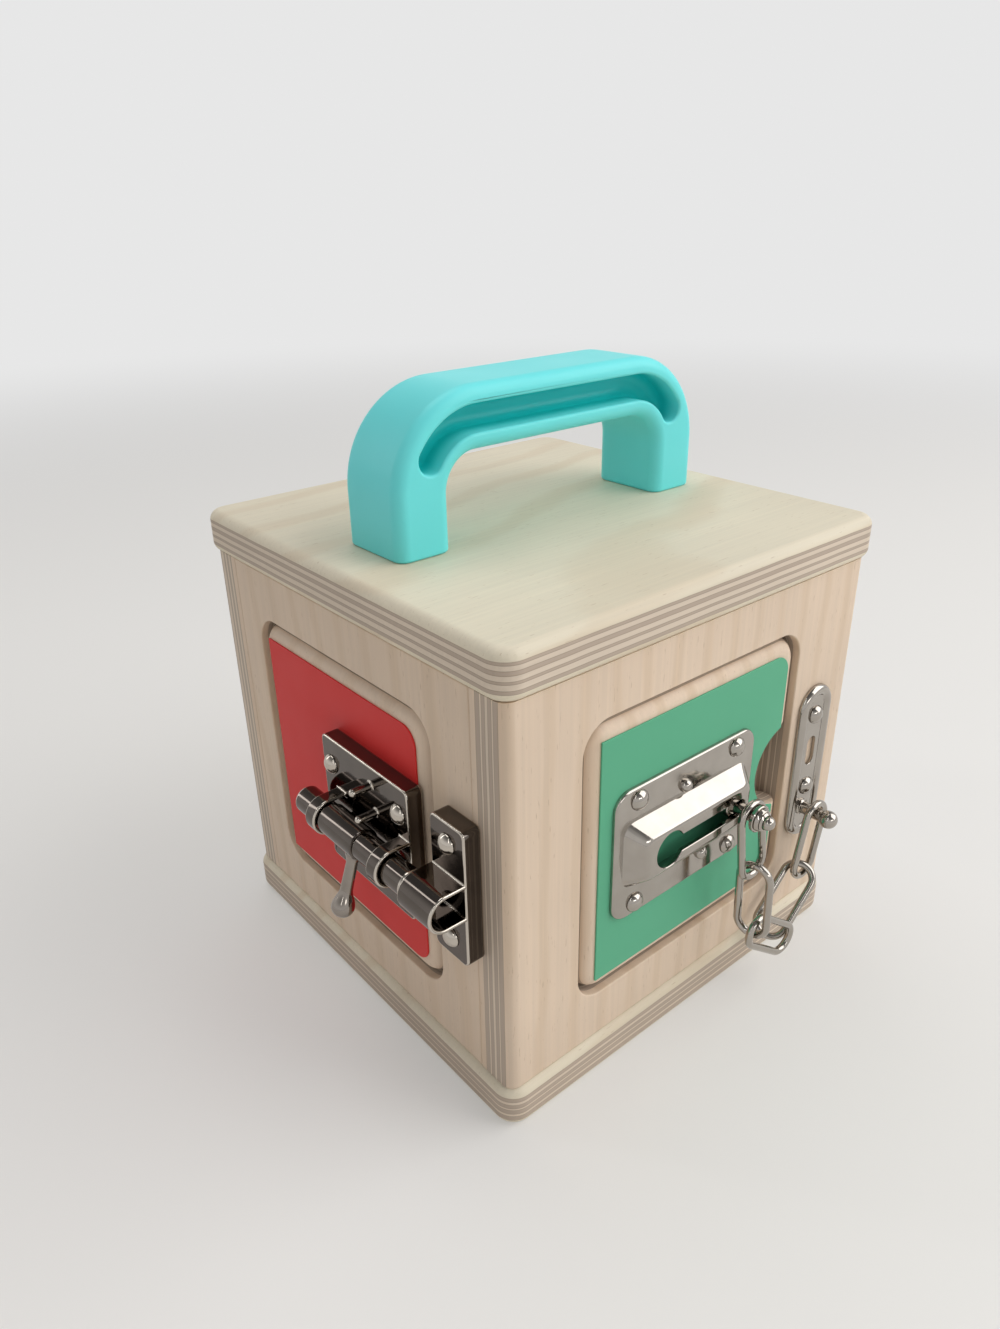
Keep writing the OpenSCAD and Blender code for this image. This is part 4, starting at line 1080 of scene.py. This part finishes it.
def softWorld():
    world = bpy.data.worlds.new("soft studio")
    bpy.context.scene.world = world
    world.use_nodes = True
    tree = world.node_tree
    light = tree.nodes["Background"]
    setSockets(light, {"Color": (1, 1, 1, 1), "Strength": studio["ambient"]})
    # the backdrop is pale all round and darker overhead, which gives the metal something to reflect
    direction = addNode(tree, "ShaderNodeTexCoord").outputs["Generated"]
    upwards = addNode(tree, "ShaderNodeSeparateXYZ", links={0: direction})
    spanFrom, spanTo = studio["ceilingSpan"]
    level = addNode(tree, "ShaderNodeMapRange",
                    {"From Min": spanFrom, "From Max": spanTo,
                     "To Min": studio["backdrop"], "To Max": studio["ceiling"]},
                    {"Value": upwards.outputs["Z"]}, interpolation_type="SMOOTHSTEP")
    backdrop = addNode(tree, "ShaderNodeBackground", {"Color": (1, 1, 1, 1)}, {"Strength": level.outputs[0]})
    blend = addNode(tree, "ShaderNodeMixShader",
                    links={0: seenRays(tree), 1: light.outputs[0], 2: backdrop.outputs[0]})
    tree.links.new(blend.outputs[0], tree.nodes["World Output"].inputs["Surface"])


lamps = {  # place in metres, width, height and power in watts
    "key": ((0.95, -0.85, 1.05), 1.5, 1.5, 17.6),
    "overhead": ((0.05, 0.3, 1.15), 0.7, 0.7, 3.3),
    "front": ((-0.1, -1.05, 0.42), 0.5, 0.08, 0.7),
    "strip": ((-0.75, -0.45, 0.75), 0.07, 0.6, 0.6),
    "rim": ((-0.75, 0.95, 0.7), 0.1, 0.9, 1.1),
}


def softLamps():
    for name, (place, wide, high, power) in lamps.items():
        data = bpy.data.lights.new(name, "AREA")
        data.shape = "RECTANGLE"
        data.size, data.size_y = wide, high
        data.energy = power
        lamp = bpy.data.objects.new(name, data)
        bpy.context.scene.collection.objects.link(lamp)
        lamp.location = place
        aim = Vector(studio["aim"]) - Vector(place)
        lamp.rotation_euler = aim.to_track_quat("-Z", "Y").to_euler()


photo = {"wide": 1000, "high": 1329, "focalPx": 969, "sensor": 36, "nearest": 0.01,
         "place": (-206.8, -234.0, 254.16),  # mm
         "forward": (0.5702, 0.6953, -0.4376), "up": (0.2935, 0.3250, 0.8990)}


def photoCamera():
    data = bpy.data.cameras.new("camera")
    data.sensor_width = photo["sensor"]
    data.lens = data.sensor_width * photo["focalPx"] / max(photo["wide"], photo["high"])
    data.clip_start = photo["nearest"]
    camera = bpy.data.objects.new("camera", data)
    bpy.context.scene.collection.objects.link(camera)
    forward = Vector(photo["forward"]).normalized()
    right = forward.cross(Vector(photo["up"])).normalized()
    turn = Matrix((right, right.cross(forward), -forward)).transposed().to_4x4()
    camera.matrix_world = Matrix.Translation(mm(Vector(photo["place"]))) @ turn
    bpy.context.scene.camera = camera


paleFloor()
softWorld()
softLamps()
photoCamera()
bpy.context.scene.view_settings.view_transform = "Standard"
print("studio set")
